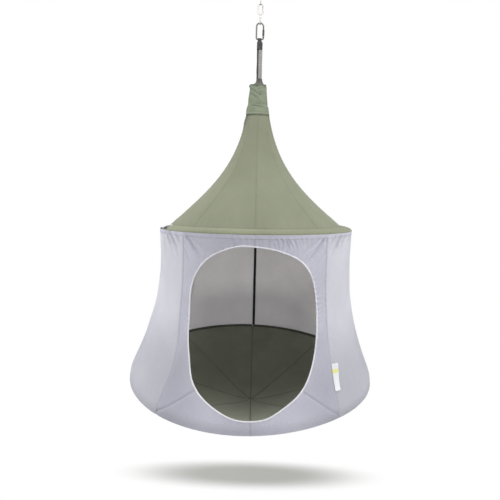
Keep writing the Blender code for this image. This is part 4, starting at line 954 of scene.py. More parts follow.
def eaveBand(s):
    eave, brim = podSizes["eaveRadius"], podSizes["brimRadius"]
    azimuth = np.arange(-180, 180, 0.5)[None, :]
    turns = np.concatenate([[0, 0.02, 0.045, 0.07, 0.10], np.linspace(0.14, 1, 22)])[:, None]
    turn = turns * np.arcsin(np.clip((scallopReach(azimuth) - brim) / (eave - brim), 0, 1)) / (np.pi / 2)
    way, belly = np.radians(azimuth) * 0.58, np.sin(np.pi * turns)
    gathers = np.sin(2 * np.pi * way / s["gatherStep"] + 2 * waves(way, turn * 0.06, 0.2, 41))
    relief = s["gather"] * gathers * belly ** 0.5 + s["hills"] * waves(way, turn * 0.06, 0.25, 42) * belly
    relief = relief + s["felled"][0] * hump(turns, *s["felled"][1:])
    radius, height = meridian(brimCurve, turn, relief)
    uv = stacked(way, turn * 0.08)
    # painted shade over the right side, and painted shadow lines below the felled hem and at the lower edge
    shade = s["rightShade"] * ramp(azimuth, -5, 25) * ramp(azimuth, 115, -20)
    for dark, place, spread in (s["hemShade"], s["edgeShade"]):
        shade = shade + dark * hump(turns, place, spread)
    mesh = gridMesh("eaveBand", podPoint(azimuth, radius, height), uv, shade, closedRound=True)
    item = soft(mesh, [brimCanvas], "eave_band", podSizes["cloth"])


brimCanvas = wovenCloth("olivePolycottonHem", "#83876F", "#7B7F68", through=0.08, seam="#6A6E58")
eaveBand(brimSizes)
print("brim made")


# Collar

collarSizes = {
    "hem": collarHemSizes["hem"], "hemRadius": 0.0745, "bandTop": 1.674, "top": 1.816,
    "mouth": 1.855, "mouthRadius": 0.0185, "cloth": 0.0014, "coneRadius": 0.047, "coneFoot": 1.79,
    "hills": 0.0030, "gather": 0.0022, "pleat": 0.0016, "band": 0.0035,
    "topDip": 0.014,             # of the top edge in front
    "aside": (-0.0035, 0.0070),  # it sits a little to the left, and its cone this much to the right of that
    "tuck": (0.006, -78, 26, 1.806, 0.009),  # a loose tuck: metres out, azimuth and spread, height and spread
    # slack lines, on the front and the back: x and height of the start and of the end, width, depth
    "creases": ((-0.055, 1.790, 0.050, 1.700, 0.0065, 0.0042), (-0.058, 1.755, 0.020, 1.690, 0.005, 0.0030),
                (0.055, 1.800, -0.030, 1.765, 0.0050, 0.0025), (-0.040, 1.668, 0.050, 1.655, 0.004, 0.0022)),
    # painted shade: a dark line at the band's top, a dark line along the top edge, and the shaded left flank
    "bandShade": (0.7, 0.003), "topShade": (3.4, 0.006), "leftShade": (1.5, -84, 13),
}


def collar(s):
    top, hem, mouth, bandTop = s["top"], s["hem"], s["mouth"], s["bandTop"]
    profile = np.array([
        (s["mouthRadius"], mouth), (0.0190, 1.848), (0.0205, 1.839), (0.0240, 1.8300), (0.0300, 1.8240),
        (0.0400, 1.8198), (0.0500, 1.8188), (0.0532, 1.8180), (0.0536, 1.8150), (0.0540, 1.8060), (0.0550, 1.790),
        (0.0594, 1.745), (0.0635, 1.705), (0.0662, bandTop + 0.004), (0.0680, bandTop),
        (0.0702, 1.655), (0.0728, 1.630), (s["hemRadius"] + 0.001, hem + 0.004), (s["hemRadius"], hem)])
    walked = walkedAlong(profile)
    rows = np.linspace(0, walked[-1], 100)
    r, h = (np.interp(rows, walked, profile[:, axis])[:, None] for axis in (0, 1))
    azimuth = np.arange(-180, 180, 3.0)[None, :]
    angle = np.radians(azimuth)
    sine, cosine, below = np.sin(angle), np.cos(angle), np.clip(top - h, 0, None)
    side = ramp(h, top, -0.02)
    hills = waves(sine * 0.06, cosine * 0.06 + h * 0.7, 0.055, 51) * (0.3 + 0.7 * ramp(h, hem, 0.03))
    gathers = np.sin(7 * angle + 9 * h + 2 * waves(sine * 0.06, h, 0.05, 52)) * np.exp(-below / 0.05)
    relief = (s["hills"] * hills + s["gather"] * gathers) * side
    for x1, y1, x2, y2, width, depth in s["creases"]:
        for face in (1, -1):
            line = crease(face * sine * r, h, (x1, y1), (x2, y2), width)
            relief = relief - np.where(face * cosine > -0.2, depth * line, 0)
    relief = relief + s["pleat"] * np.sin(11 * angle) * ramp(h, top, 0.01) * np.clip((mouth - h) / 0.02, 0.3, 1)
    relief = relief + s["band"] * np.clip(sine, 0, 1) * ramp(h, bandTop, -0.004)
    out, place, spread, middle, tall = s["tuck"]
    relief = relief + out * hump(azimuth, place, spread) * hump(h, middle, tall)
    dip = s["topDip"] * np.clip(cosine, 0, 1) ** 1.5 * ramp(r, 0.024, 0.024)
    height = h + (collarHem(azimuth) - hem) * np.exp(-(h - hem) / 0.035) - dip * np.exp(-below / 0.045)
    uv = stacked(angle * 0.065, -rows[:, None])
    # painted shade on the band's top, the top edge and the left flank
    shade = np.maximum(s["bandShade"][0] * hump(h, bandTop + 0.004, s["bandShade"][1]),
                       s["topShade"][0] * hump(h, top - 0.002, s["topShade"][1]))
    dark, place, spread = s["leftShade"]
    shade = np.maximum(shade, dark * hump(azimuth, place, spread) * ramp(h, 1.78, -0.04))
    aside = s["aside"][0] + s["aside"][1] * ramp(h, top, 0.012)
    points = podPoint(azimuth, r + relief, height) + aside[..., None] * (1, 0, 0)
    mesh = gridMesh("gatheredCollar", points, uv, shade, closedRound=True)
    item = soft(mesh, [collarCanvas, drawnCanvas], "collar", s["cloth"])
    for face in mesh.polygons:  # the cone, in a darker cloth that reaches onto the inner part of the collar's top as painted shade
        x, y, z = face.center
        face.material_index = int(math.hypot(x, y) < s["coneRadius"] and z > hoopHeight + s["coneFoot"])
    smooth = item.modifiers.new("smooth", "SUBSURF")
    smooth.levels = smooth.render_levels = 1


collar(collarSizes)
print("collar made")


# Floor

clothFloorSizes = {
    "ridge": 0.0022, "ridgeWidth": 0.0045,  # the seams stand up inside
    "sag": 0.008, "hills": 0.0022,
    "pucker": 0.0012, "puckerReach": 0.035, "puckerStep": 0.026,
    "rimFold": 0.0014, "rimFoldReach": 0.05, "rimFoldStep": 0.03,
    "backShade": 0.40,                           # painted shade, darker towards the back
}


def floorGore(name, node, low, high, s):
    rim = podSizes["floorRim"]
    azimuth, share = np.broadcast_arrays(low + (high - low) * fractions(50)[None, :], fractions(80)[:, None])
    radius = rim * (1 - share) + 0.0006 * share
    distance = seamDistance(azimuth, radius)[0]
    away, gore = np.abs(distance), np.clip(goreShare(azimuth), 0, 1)
    x, y = radius * np.sin(np.radians(azimuth)), radius * np.cos(np.radians(azimuth))
    edge = ramp(share, 0, 0.04) * ramp(share, 1, -0.05)
    ridge = hump(distance, 0, s["ridgeWidth"])
    relief = s["ridge"] * ridge * edge - s["sag"] * np.sin(np.pi * gore) * np.sin(np.pi * share) * (radius / 0.7)
    relief = relief + s["hills"] * waves(x, y, 0.16, 61) * edge * ramp(away, 0, 0.04)
    puckers = np.sin(2 * np.pi * (radius + 0.8 * away) / s["puckerStep"] + 2 * waves(x, y, 0.15, 62))
    relief = relief + s["pucker"] * np.exp(-away / s["puckerReach"]) * puckers * edge
    folds = np.sin(2 * np.pi * np.radians(azimuth) * 0.7 / s["rimFoldStep"] + 2 * waves(x, y, 0.15, 63))
    relief = relief + s["rimFold"] * np.exp(-share / s["rimFoldReach"]) * folds * ramp(share, 0, 0.01)
    shade = np.maximum(ridge, s["backShade"] * ramp(y, 0.45, -0.6))
    mesh = gridMesh(name, podPoint(azimuth, radius, floorHeight(radius) - relief), stacked(x, y), shade)
    item = soft(mesh, [floorCanvas], "floor_" + node, podSizes["cloth"])


for name, node, low, high in gores:
    floorGore("floor" + name, node, low, high, clothFloorSizes)
print("floor made")


# Solid pieces: rings of points, turned profiles, and sections carried along a path

def solidMesh(name, rings, closed=False, uv=None):
    # rings joined into a closed solid: closed joins the last ring to the first, and otherwise both ends are capped
    rings = np.array(rings)
    mesh = gridMesh(name, rings, uv, closedRound=True, closedAlong=closed)
    edit = bmesh.new()
    edit.from_mesh(mesh)
    if not closed:
        edit.verts.ensure_lookup_table()
        count = rings.shape[1]
        for ring, corners in ((rings[0], edit.verts[:count]), (rings[-1], edit.verts[len(edit.verts) - count:])):
            if np.ptp(ring, axis=0).max() > 1e-5:
                edit.faces.new(corners)
    bmesh.ops.remove_doubles(edit, verts=edit.verts, dist=1e-6)
    bmesh.ops.recalc_face_normals(edit, faces=edit.faces)
    edit.to_mesh(mesh)
    edit.free()
    return mesh


def softened(corners, soften, steps=3):
    # a closed outline with its corners rounded
    corners = np.array(corners, float)
    points = []
    for index, corner in enumerate(corners):
        before, after = corners[index - 1] - corner, corners[(index + 1) % len(corners)] - corner
        first = corner + before * min(soften / np.hypot(*before), 0.48)
        last = corner + after * min(soften / np.hypot(*after), 0.48)
        for t in np.linspace(0, 1, steps):
            points.append((1 - t) ** 2 * first + 2 * t * (1 - t) * corner + t ** 2 * last)
    return np.array(points)


def circle(radius, sides):
    angle = turnAngles(sides)
    return stacked(radius * np.cos(angle), radius * np.sin(angle))


def turnedMesh(name, profile, centre=(0.0, 0.0), sides=48, closed=True):
    # profile is (radius, z) all round a piece's wall, or with closed off from the axis to the axis
    profile = np.array(profile, float)
    turn = circle(1.0, sides)
    x, y = (centre[axis] + profile[:, :1] * turn[:, axis] for axis in (0, 1))
    return solidMesh(name, stacked(x, y, profile[:, 1:]), closed)


def smoothPath(points, step):
    # a curve through all the points, in steps of about this length
    points = np.array(points, float)
    walked = walkedAlong(points)
    slope = np.gradient(points, walked, axis=0)
    even = np.linspace(0, walked[-1], max(2, int(walked[-1] / step) + 1))
    first = np.clip(np.searchsorted(walked, even, side="right") - 1, 0, len(points) - 2)
    length = (walked[first + 1] - walked[first])[:, None]
    t = (even - walked[first])[:, None] / length
    return ((2 * t ** 3 - 3 * t ** 2 + 1) * points[first] + (t ** 3 - 2 * t ** 2 + t) * length * slope[first]
            + (3 * t ** 2 - 2 * t ** 3) * points[first + 1] + (t ** 3 - t ** 2) * length * slope[first + 1])


def sweepMesh(name, path, side, section, closed=False, sizes=None):
    # carries a section, as (out, side) points, along a path. side is one direction, or one for each point
    path = np.array(path, float)
    ahead = np.roll(path, -1, 0) - np.roll(path, 1, 0) if closed else np.gradient(path, axis=0)
    ahead = unit(ahead)
    side = np.broadcast_to(np.array(side, float), path.shape)
    side = unit(side - (side * ahead).sum(axis=1, keepdims=True) * ahead)
    out = np.cross(side, ahead)
    section = np.broadcast_to(section, (len(path),) + np.shape(section)[-2:])
    if sizes is not None:
        section = section * np.array(sizes)[:, None, None]
    rings = path[:, None] + out[:, None] * section[..., :1] + side[:, None] * section[..., 1:]
    uv = stacked(section[..., 1], walkedAlong(path)[:, None])
    return solidMesh(name, rings, closed, uv)


def roundedEnds(path, radius):
    # two more stations near each end, and each station's size, so that a rod's ends are rounded off
    path = np.array(path, float)
    steps, shares = (0.0, 0.12, 0.45), [0.55, 0.80, 0.96]
    head, tail = ([end + unit(near - end) * radius * step for step in steps]
                  for end, near in ((path[0], path[1]), (path[-1], path[-2])))
    return np.array(head + list(path[1:-1]) + tail[::-1]), shares + [1.0] * (len(path) - 2) + shares[::-1]


def arcPoints(centre, radius, start, end, count, across=(1, 0, 0)):
    angle = np.radians(np.linspace(start, end, count))[:, None]
    return list(np.array(centre) + radius * (np.cos(angle) * np.array(across, float) + np.sin(angle) * (0, 0, 1)))


def plateMesh(name, outlines, low, high, bevel=0.0005):
    # a flat plate: the first outline with the others cut out of it, and its edges broken
    data = bpy.data.curves.new(name, "CURVE")
    data.dimensions, data.fill_mode = "2D", "BOTH"
    data.extrude, data.bevel_depth, data.bevel_resolution, data.offset = (high - low) / 2 - bevel, bevel, 2, -bevel
    for outline in outlines:
        spline = data.splines.new("POLY")
        spline.points.add(len(outline) - 1)
        for point, (x, y) in zip(spline.points, outline):
            point.co = (x, y, 0, 1)
        spline.use_cyclic_u = True
    item = bpy.data.objects.new(name, data)
    bpy.context.scene.collection.objects.link(item)
    mesh = bpy.data.meshes.new_from_object(item.evaluated_get(bpy.context.evaluated_depsgraph_get()))
    bpy.data.objects.remove(item)
    mesh.transform(Matrix.Translation((0, 0, (low + high) / 2)))
    return mesh


def joinedMesh(name, meshes):
    edit = bmesh.new()
    for mesh in meshes:
        edit.from_mesh(mesh)
        bpy.data.meshes.remove(mesh)
    bmesh.ops.remove_doubles(edit, verts=edit.verts, dist=1e-6)
    bmesh.ops.recalc_face_normals(edit, faces=edit.faces)
    whole = bpy.data.meshes.new(name)
    edit.to_mesh(whole)
    edit.free()
    return whole


# Stitches, ball races, chain links and bent rods are grown by Geometry Nodes

def newTree(name, inputs):
    tree = bpy.data.node_groups.new(name, "GeometryNodeTree")
    tree.interface.new_socket("Geometry", in_out="INPUT", socket_type="NodeSocketGeometry")
    for label, kind in inputs.items():
        tree.interface.new_socket(label, in_out="INPUT", socket_type="NodeSocket" + kind)
    tree.interface.new_socket("Geometry", in_out="OUTPUT", socket_type="NodeSocketGeometry")
    return tree, addNode(tree, "NodeGroupInput").outputs


def closeTree(tree, geometry, material):
    real = addNode(tree, "GeometryNodeRealizeInstances", {"Geometry": geometry})
    smooth = addNode(tree, "GeometryNodeSetShadeSmooth", {"Geometry": real})
    painted = addNode(tree, "GeometryNodeSetMaterial", {"Geometry": smooth, "Material": material})
    addNode(tree, "NodeGroupOutput", {"Geometry": painted})


def grown(name, tree, values, body, source=None):
    # runs a tree on a source mesh and leaves the result as a plain mesh
    item = bpy.data.objects.new(name, source or bpy.data.meshes.new(name + "Start"))
    bpy.context.scene.collection.objects.link(item)
    modifier = item.modifiers.new("grown", "NODES")
    modifier.node_group = tree
    for socket in tree.interface.items_tree:
        if socket.in_out == "INPUT" and socket.name in values:
            modifier[socket.identifier] = values[socket.name]
    mesh = bpy.data.meshes.new_from_object(item.evaluated_get(bpy.context.evaluated_depsgraph_get()))
    item.modifiers.remove(modifier)
    item.data = mesh
    mesh.name = name
    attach(item, body)
    return item


def stitchTree():
    # one bead of thread for each stitch, laid along the source's edges with its back to the cloth
    tree, given = newTree("sewnStitches", {"Pitch": "Float", "Length": "Float", "Width": "Float",
                                           "Thread": "Material"})
    lines = addNode(tree, "GeometryNodeMeshToCurve", {"Mesh": given["Geometry"]})
    dots = addNode(tree, "GeometryNodeCurveToPoints", {"Curve": lines, "Length": given["Pitch"]}, mode="LENGTH")
    outward = addNode(tree, "GeometryNodeInputNamedAttribute", {"Name": "outward"}, data_type="FLOAT_VECTOR")
    along = addNode(tree, "FunctionNodeAlignRotationToVector", {"Vector": dots.outputs["Tangent"]}, axis="X")
    turned = addNode(tree, "FunctionNodeAlignRotationToVector",
                     {"Rotation": along, "Vector": outward}, axis="Z", pivot_axis="X")
    bead = addNode(tree, "GeometryNodeMeshIcoSphere", {"Radius": 0.5, "Subdivisions": 1})
    size = addNode(tree, "ShaderNodeCombineXYZ", {"X": given["Length"], "Y": given["Width"], "Z": given["Width"]})
    stitch = addNode(tree, "GeometryNodeTransform", {"Geometry": bead, "Scale": size})
    sewn = addNode(tree, "GeometryNodeInstanceOnPoints",
                   {"Points": dots, "Instance": stitch, "Rotation": turned})
    closeTree(tree, sewn, given["Thread"])
    return tree


def ballTree():
    tree, given = newTree("ballRace", {"Count": "Int", "Ring": "Float", "Ball": "Float", "Height": "Float",
                                       "Metal": "Material"})
    ring = addNode(tree, "GeometryNodeMeshCircle", {"Vertices": given["Count"], "Radius": given["Ring"]})
    lift = addNode(tree, "ShaderNodeCombineXYZ", {"Z": given["Height"]})
    lifted = addNode(tree, "GeometryNodeSetPosition", {"Geometry": ring, "Offset": lift})
    ball = addNode(tree, "GeometryNodeMeshIcoSphere", {"Radius": given["Ball"], "Subdivisions": 2})
    race = addNode(tree, "GeometryNodeInstanceOnPoints", {"Points": lifted, "Instance": ball})
    closeTree(tree, race, given["Metal"])
    return tree


def linkTree():
    # a welded chain link: a wire bent to an oblong, with the weld's bead half way down one leg
    tree, given = newTree("weldedLink", {
        "Rise": "Float", "Half Width": "Float", "Wire": "Float", "Bead": "Float", "Bead Length": "Float",
        "Middle": "Vector", "Turn": "Vector", "Metal": "Material"})
    wide = addNode(tree, "ShaderNodeMath", {0: given["Half Width"], 1: 2.0}, operation="MULTIPLY")
    oblong = addNode(tree, "GeometryNodeCurvePrimitiveQuadrilateral", {"Width": wide, "Height": given["Rise"]})
    bent = addNode(tree, "GeometryNodeFilletCurve", {"Curve": oblong, "Count": 12, "Radius": given["Half Width"]},
                   mode="POLY")
    even = addNode(tree, "GeometryNodeResampleCurve", {"Curve": bent, "Count": 84})
    place = addNode(tree, "ShaderNodeSeparateXYZ", {"Vector": addNode(tree, "GeometryNodeInputPosition")})
    far = addNode(tree, "ShaderNodeMath", {0: place.outputs[1]}, operation="ABSOLUTE")
    near = addNode(tree, "ShaderNodeMapRange", {
        "Value": far, "From Min": 0.0, "From Max": given["Bead Length"], "To Min": given["Bead"], "To Max": 0.0},
        interpolation_type="SMOOTHSTEP")
    left = addNode(tree, "ShaderNodeMath", {0: place, 1: 0.0}, operation="LESS_THAN")
    swollen = addNode(tree, "ShaderNodeMath", {0: near, 1: left, 2: 1.0}, operation="MULTIPLY_ADD")
    wire = addNode(tree, "GeometryNodeCurvePrimitiveCircle", {"Resolution": 20, "Radius": given["Wire"]})
    drawn = addNode(tree, "GeometryNodeCurveToMesh", {"Curve": even, "Profile Curve": wire,
                                                      "Scale": swollen})
    hung = addNode(tree, "GeometryNodeTransform", {"Geometry": drawn, "Translation": given["Middle"],
                                                   "Rotation": given["Turn"]})
    closeTree(tree, hung, given["Metal"])
    return tree


def rodTree():
    tree, given = newTree("bentRod", {"Radius": "Float", "Sides": "Int", "Material": "Material"})
    line = addNode(tree, "GeometryNodeMeshToCurve", {"Mesh": given["Geometry"]})
    section = addNode(tree, "GeometryNodeCurvePrimitiveCircle", {
        "Resolution": given["Sides"], "Radius": given["Radius"]})
    rod = addNode(tree, "GeometryNodeCurveToMesh", {"Curve": line, "Profile Curve": section,
                                                    "Fill Caps": True})
    closeTree(tree, rod, given["Material"])
    return tree


def lineMesh(name, rows):
    # polylines as edges. A row is (points, outward, closed)
    points, ways, edges = [], [], []
    for row, outward, closed in rows:
        start, count = len(points), len(row)
        points += np.array(row).tolist()
        ways.append(np.broadcast_to(outward, np.shape(row)))
        edges += [(start + i, start + i + 1) for i in range(count - 1)]
        if closed:
            edges.append((start + count - 1, start))
    mesh = bpy.data.meshes.new(name)
    mesh.from_pydata(points, edges, [])
    attribute = mesh.attributes.new("outward", "FLOAT_VECTOR", "POINT")
    attribute.data.foreach_set("vector", np.concatenate(ways).astype(np.float32).ravel())
    return mesh


sewing, ballRace, weldedLink, bentRod = stitchTree(), ballTree(), linkTree(), rodTree()
stitchSizes = {
    "pitch": 0.0065, "length": 0.0048, "width": 0.0011, "besideSeam": 0.0052,
    "wallTop": 0.857, "hemLine": 0.8615, "skirtLine": 0.0345,  # heights above the hoop
}


def sewn(name, rows, thread, slot, pitch=stitchSizes["pitch"], length=stitchSizes["length"],
         width=stitchSizes["width"]):
    values = {"Pitch": pitch, "Length": length, "Width": width, "Thread": thread}
    item = grown(name, sewing, values, "pod", lineMesh(name + "Lines", rows))
    return item


# Ceiling fitting

ceilingSizes = {
    "plateRadius": 0.055, "plateThickness": 0.006, "holeCircle": 0.041, "holeRadius": 0.0042,
    "cupRadius": 0.026, "cupTop": -0.0063, "cupBottom": -0.0363, "cupWall": 0.004, "rim": 0.0012, "bore": 0.0056,
    "washerRadius": 0.0135, "washerTop": -0.0235, "washerBottom": -0.0320, "washerThickness": 0.0027,
    "balls": 18, "ballRing": 0.0100, "ballRadius": 0.0016, "raceHalf": 0.0015, "raceDepth": 0.0006,
    "headRadius": 0.012, "headTop": -0.0172, "headBottom": -0.0232, "shankRadius": 0.0050,
    "eyeCentre": -0.0863, "eyeRadius": 0.016, "eyeWire": 0.0040,
}


def plateAndCup(s):
    holes = [circle(s["holeRadius"], 24) + s["holeCircle"] * np.array([math.cos(a), math.sin(a)])
             for a in np.radians((45, 135, 225, 315))]
    flat = plateMesh("plate", [circle(s["plateRadius"], 96)] + holes, -s["plateThickness"], 0, 0.0008)
    rigid(joinedMesh("ceilingPlate", [flat]), zincSteel, "ceiling", "ceiling_plate")
    radius, top, bottom, wall = s["cupRadius"], s["cupTop"], s["cupBottom"], s["cupWall"]
    cup = [(radius + s["rim"], top), (radius + s["rim"], top - 0.0025), (radius, top - 0.0040),
           (radius, bottom + 0.004), (radius - 0.004, bottom), (s["bore"], bottom), (s["bore"], bottom + wall),
           (radius - wall, bottom + wall), (radius - wall, top)]
    rigid(turnedMesh("swivelCup", softened(cup, 0.0009, 4), sides=72), zincSteel, "ceiling",
          "swivel_cup")


def thrustBearing(s):
    # two washers, each with a race turned in the face that the balls run on
    bore, edge, ring, half, depth = s["bore"], s["washerRadius"], s["ballRing"], s["raceHalf"], s["raceDepth"]
    low, high = s["washerTop"] - s["washerThickness"], s["washerTop"]
    upper = [(bore, high), (edge, high), (edge, low), (ring + half, low), (ring, low + depth), (ring - half, low),
             (bore, low)]
    low, high = s["washerBottom"], s["washerBottom"] + s["washerThickness"]
    lower = [(bore, high), (ring - half, high), (ring, high - depth), (ring + half, high), (edge, high), (edge, low),
             (bore, low)]
    washers = [turnedMesh("washer", softened(corners, 0.0004), sides=64) for corners in (upper, lower)]
    rigid(joinedMesh("bearingWashers", washers), groundSteel, "ceiling", "thrust_bearing")
    middle = (s["washerTop"] + s["washerBottom"]) / 2
    balls = grown("bearingBalls", ballRace, {"Count": s["balls"], "Ring": s["ballRing"], "Ball": s["ballRadius"],
                                             "Height": middle, "Metal": groundSteel}, "ceiling")


def eyeBolt(s):
    head, shank, top, end = s["headRadius"], s["shankRadius"], s["headTop"], s["eyeCentre"] + s["eyeRadius"]
    bolt = softened([(head - 0.0035, top), (head, top - 0.0028), (head, s["headBottom"]), (shank, s["headBottom"]),
                     (shank, end + 0.012), (shank + 0.0012, end + 0.004), (shank + 0.0002, end - 0.001),
                     (0.0, end - 0.0032), (0.0, top)], 0.0009, 4)
    bolt = np.concatenate([[(0.0, top)], bolt[(bolt[:, 0] > 1e-5)], [(0.0, end - 0.0032)]])
    ring = arcPoints((0, 0, s["eyeCentre"]), s["eyeRadius"], 90, 450, 73, (0, 1, 0))[:-1]
    eye = sweepMesh("eyeRing", ring, (1, 0, 0), circle(s["eyeWire"], 24), closed=True)
    whole = joinedMesh("eyeBolt", [turnedMesh("bolt", bolt, sides=48, closed=False), eye])
    rigid(whole, zincSteel, "eye", "eye_bolt")


plateAndCup(ceilingSizes)
thrustBearing(ceilingSizes)
eyeBolt(ceilingSizes)
print("ceiling fitting made")


# Chain

chainSizes = {
    "bottoms": (-0.1660, -0.2297, -0.2934, -0.3571), "rise": 0.072, "halfWidth": 0.0145, "wire": 0.0040,
    "bead": 0.16, "beadLength": 0.0045,  # the weld's swelling, as a share of the wire, and how far it reaches
}
for number, bottom in enumerate(chainSizes["bottoms"], 1):
    link = grown(f"chainLink{number}", weldedLink, {
        "Rise": chainSizes["rise"], "Half Width": chainSizes["halfWidth"], "Wire": chainSizes["wire"],
        "Bead": chainSizes["bead"], "Bead Length": chainSizes["beadLength"],
        "Middle": (0.0, 0.0, bottom + chainSizes["rise"] / 2),
        "Turn": (math.pi / 2, 0.0, 0.0 if number % 2 else math.pi / 2), "Metal": dullZinc}, f"link_{number}")
    dressed(link, f"chain_link_{number}")
print("chain made")


# Carabiner

carabinerSizes = {
    "bar": -0.4536, "rise": 0.1058, "halfWidth": 0.0226, "rod": 0.0050, "corner": 0.009,
    "hinge": -0.4356, "discRadius": 0.0062, "tongue": 0.0040, "gateLength": 0.052, "gateRadius": 0.0048,
    "pinRadius": 0.0015, "springRadius": 0.0018, "springWire": 0.0004, "springLength": 0.015,
    "lockBase": 0.0065, "lockLength": 0.038, "lockBore": 0.0053, "lockWall": 0.0015,
    "knurls": 18, "knurlStep": 0.0024, "knurlDepth": 0.0008, "knurlEnds": (0.13, 0.87), "grooveDepth": 0.0006,
    "slack": 0.0003,
}


def carabinerFrame(s, upright, angle):
    half, corner, disc = s["halfWidth"], s["corner"], s["discRadius"]
    low, shoulder, flat = s["bar"] + corner, s["bar"] + s["rise"] - half, half - corner
    path = [(half, 0, s["hinge"] + s["gateLength"] + s["slack"])]
    path += arcPoints((0, 0, shoulder), half, 0, 180, 36)
    path += [(-half, 0, z) for z in np.linspace(shoulder, low, 12)[1:-1]]
    path += arcPoints((-flat, 0, low), corner, 180, 270, 12) + arcPoints((flat, 0, low), corner, 270, 360, 12)
    path.append((half, 0, s["hinge"] - disc - 0.0006))
    path, sizes = roundedEnds(path, s["rod"])
    rod = sweepMesh("carabinerRod", path, (0, 1, 0), circle(s["rod"], 28), sizes=sizes)
    stem, thick = disc * 0.62, s["tongue"] / 2
    outline = list(zip(disc * np.cos(angle), disc * np.sin(angle))) + [(-stem, -0.0093), (stem, -0.0093)]
    tongue = plateMesh("tongue", [outline, circle(s["pinRadius"] + s["slack"], 20)], -thick, thick, 0.0003)
    tongue.transform(upright)
    rigid(joinedMesh("carabinerFrame", [rod, tongue]), greyAlloy, "carabiner", "carabiner_frame")


def carabinerGate(s, upright, angle):
    # a rod bored for its spring, with a cheek on each side of the frame's tongue
    half, z, radius, disc, slack = s["halfWidth"], s["hinge"], s["gateRadius"], s["discRadius"], s["slack"]
    slot, nose = disc + 0.0006, s["gateLength"]
    boreTop, bore = slot + s["springLength"] + slack, s["springRadius"] + s["springWire"] + slack
    bar = [(0, z + boreTop), (bore, z + boreTop), (bore, z + slot), (radius - 0.0003, z + slot),
           (radius, z + slot + 0.0004), (radius, z + nose - 0.0016), (radius - 0.0004, z + nose - 0.0006),
           (radius - 0.0012, z + nose), (0, z + nose)]
    parts = [turnedMesh("gateBar", bar, (half, 0), 40, closed=False)]
    turned = angle[::-1] + math.pi
    outline = list(zip(disc * np.cos(turned), disc * np.sin(turned)))
    outline += [(-radius * 0.93, slot + 0.002), (radius * 0.93, slot + 0.002)]
    for side in (-1, 1):
        hole = circle(s["pinRadius"] + 0.0002, 20)
        cheek = plateMesh("cheek", [outline, hole], s["tongue"] / 2 + slack, s["rod"], 0.0004)
        if side > 0:
            cheek.transform(Matrix.Diagonal((1, 1, -1, 1)))
        cheek.transform(upright)
        parts.append(cheek)
    rigid(joinedMesh("carabinerGate", parts), blackAlloy, "gate", "carabiner_gate")


def gatePin(s, upright):
    # riveted over at both ends: (share of the pin's radius, place beyond the gate's cheeks)
    low = [(0, -0.0007), (1.1, -0.0006), (1.5, -0.0002), (1.5, 0.00005), (1, 0.0001)]
    profile = [(share * s["pinRadius"], place - s["rod"]) for share, place in low]
    profile += [(share * s["pinRadius"], s["rod"] - place) for share, place in reversed(low)]
    mesh = turnedMesh("gatePin", profile, (0, 0), 24, closed=False)
    mesh.transform(upright)
    rigid(mesh, groundSteel, "carabiner", "gate_pivot_pin")


def gateSpring(s, turns=7):
    angle = np.linspace(0, turns * 2 * np.pi, turns * 18 + 1)
    rise = s["springLength"] - 2 * s["springWire"]
    z = s["hinge"] + s["discRadius"] + 0.0007 + rise * angle / angle[-1]
    coil = stacked(s["halfWidth"] + s["springRadius"] * np.cos(angle), s["springRadius"] * np.sin(angle), z)
    coil, sizes = roundedEnds(coil, s["springWire"])
    mesh = sweepMesh("gateSpring", coil, (0, 0, 1), circle(s["springWire"], 8), sizes=sizes)
    rigid(mesh, springSteel, "gate", "gate_spring", None)


def lockSleeve(s, sides=72, rows=72):
    # a screw sleeve: a diamond knurl between two plain bands
    first, last = s["knurlEnds"]
    share = np.linspace(0, 1, rows)[:, None]
    around = turnAngles(sides)[None]
    height = share * s["lockLength"]
    turn, climb = around * s["knurls"] / (2 * np.pi), height / s["knurlStep"]
    ridge = np.maximum(np.abs((turn + climb) % 1 - 0.5), np.abs((turn - climb) % 1 - 0.5)) ** 1.5
    radius = s["lockBore"] + s["lockWall"] - np.where((share > first) & (share < last), s["knurlDepth"] * ridge, 0)
    radius = radius - s["grooveDepth"] * (hump(share, first, 0.012) + hump(share, last, 0.012))
    radius = radius - 0.0005 * (1 - ramp(np.minimum(share, 1 - share), 0, 0.02)) ** 2
    radius = np.concatenate([radius, np.full((2, sides), s["lockBore"])])
    z = s["hinge"] + s["lockBase"] + np.concatenate([height, [[s["lockLength"]], [0.0]]])
    x, y = s["halfWidth"] + radius * np.cos(around), radius * np.sin(around)
    mesh = solidMesh("lockSleeve", stacked(x, y, z), closed=True)
    rigid(mesh, blackAlloy, "lock", "lock_sleeve", 50)


hingePlace = Matrix.Translation((carabinerSizes["halfWidth"], 0, carabinerSizes["hinge"])) @ \
    Matrix.Rotation(math.pi / 2, 4, "X")
discAngles = np.radians(np.linspace(-48, 228, 40))
carabinerFrame(carabinerSizes, hingePlace, discAngles)
carabinerGate(carabinerSizes, hingePlace, discAngles)
gatePin(carabinerSizes, hingePlace)
gateSpring(carabinerSizes)
lockSleeve(carabinerSizes)
print("carabiner made")


# Sling and load straps

slingSizes = {  # heights are above the hoop
    "bar": 2.116, "overBar": 0.00655, "ringTop": 1.800, "thickness": 0.0025,
    "blackWidth": 0.031, "blackShift": -0.0005, "blackDepth": 0.00275, "blackEnd": 1.8052, "taperEnd": 2.0766,
    # the black webbing bunches up on the bar: to what share of its width, from how far below, over what length
    "atBar": 0.81, "bunchFrom": 0.030, "bunchOver": 0.020,
    "greyWidth": 0.024, "greyShift": 0.0070, "greyDepth": 0.00555, "greyTop": 2.0760,
}


def tapeSection(width, thickness):
    # (out, side) of a woven tape, a little thicker along its two selvedges
    half, edge = thickness / 2, width / 2
    left = [(-half, -edge + 0.0008), (-half * 0.86, -edge + 0.0024), (-half * 0.86, 0),
            (-half * 0.86, edge - 0.0024), (-half, edge - 0.0008), (-half * 0.5, edge)]
    return np.array(left + [(half * 0.5, edge)] + [(-out, side) for out, side in reversed(left[:5])]
                    + [(half * 0.5, -edge), (-half * 0.5, -edge)])


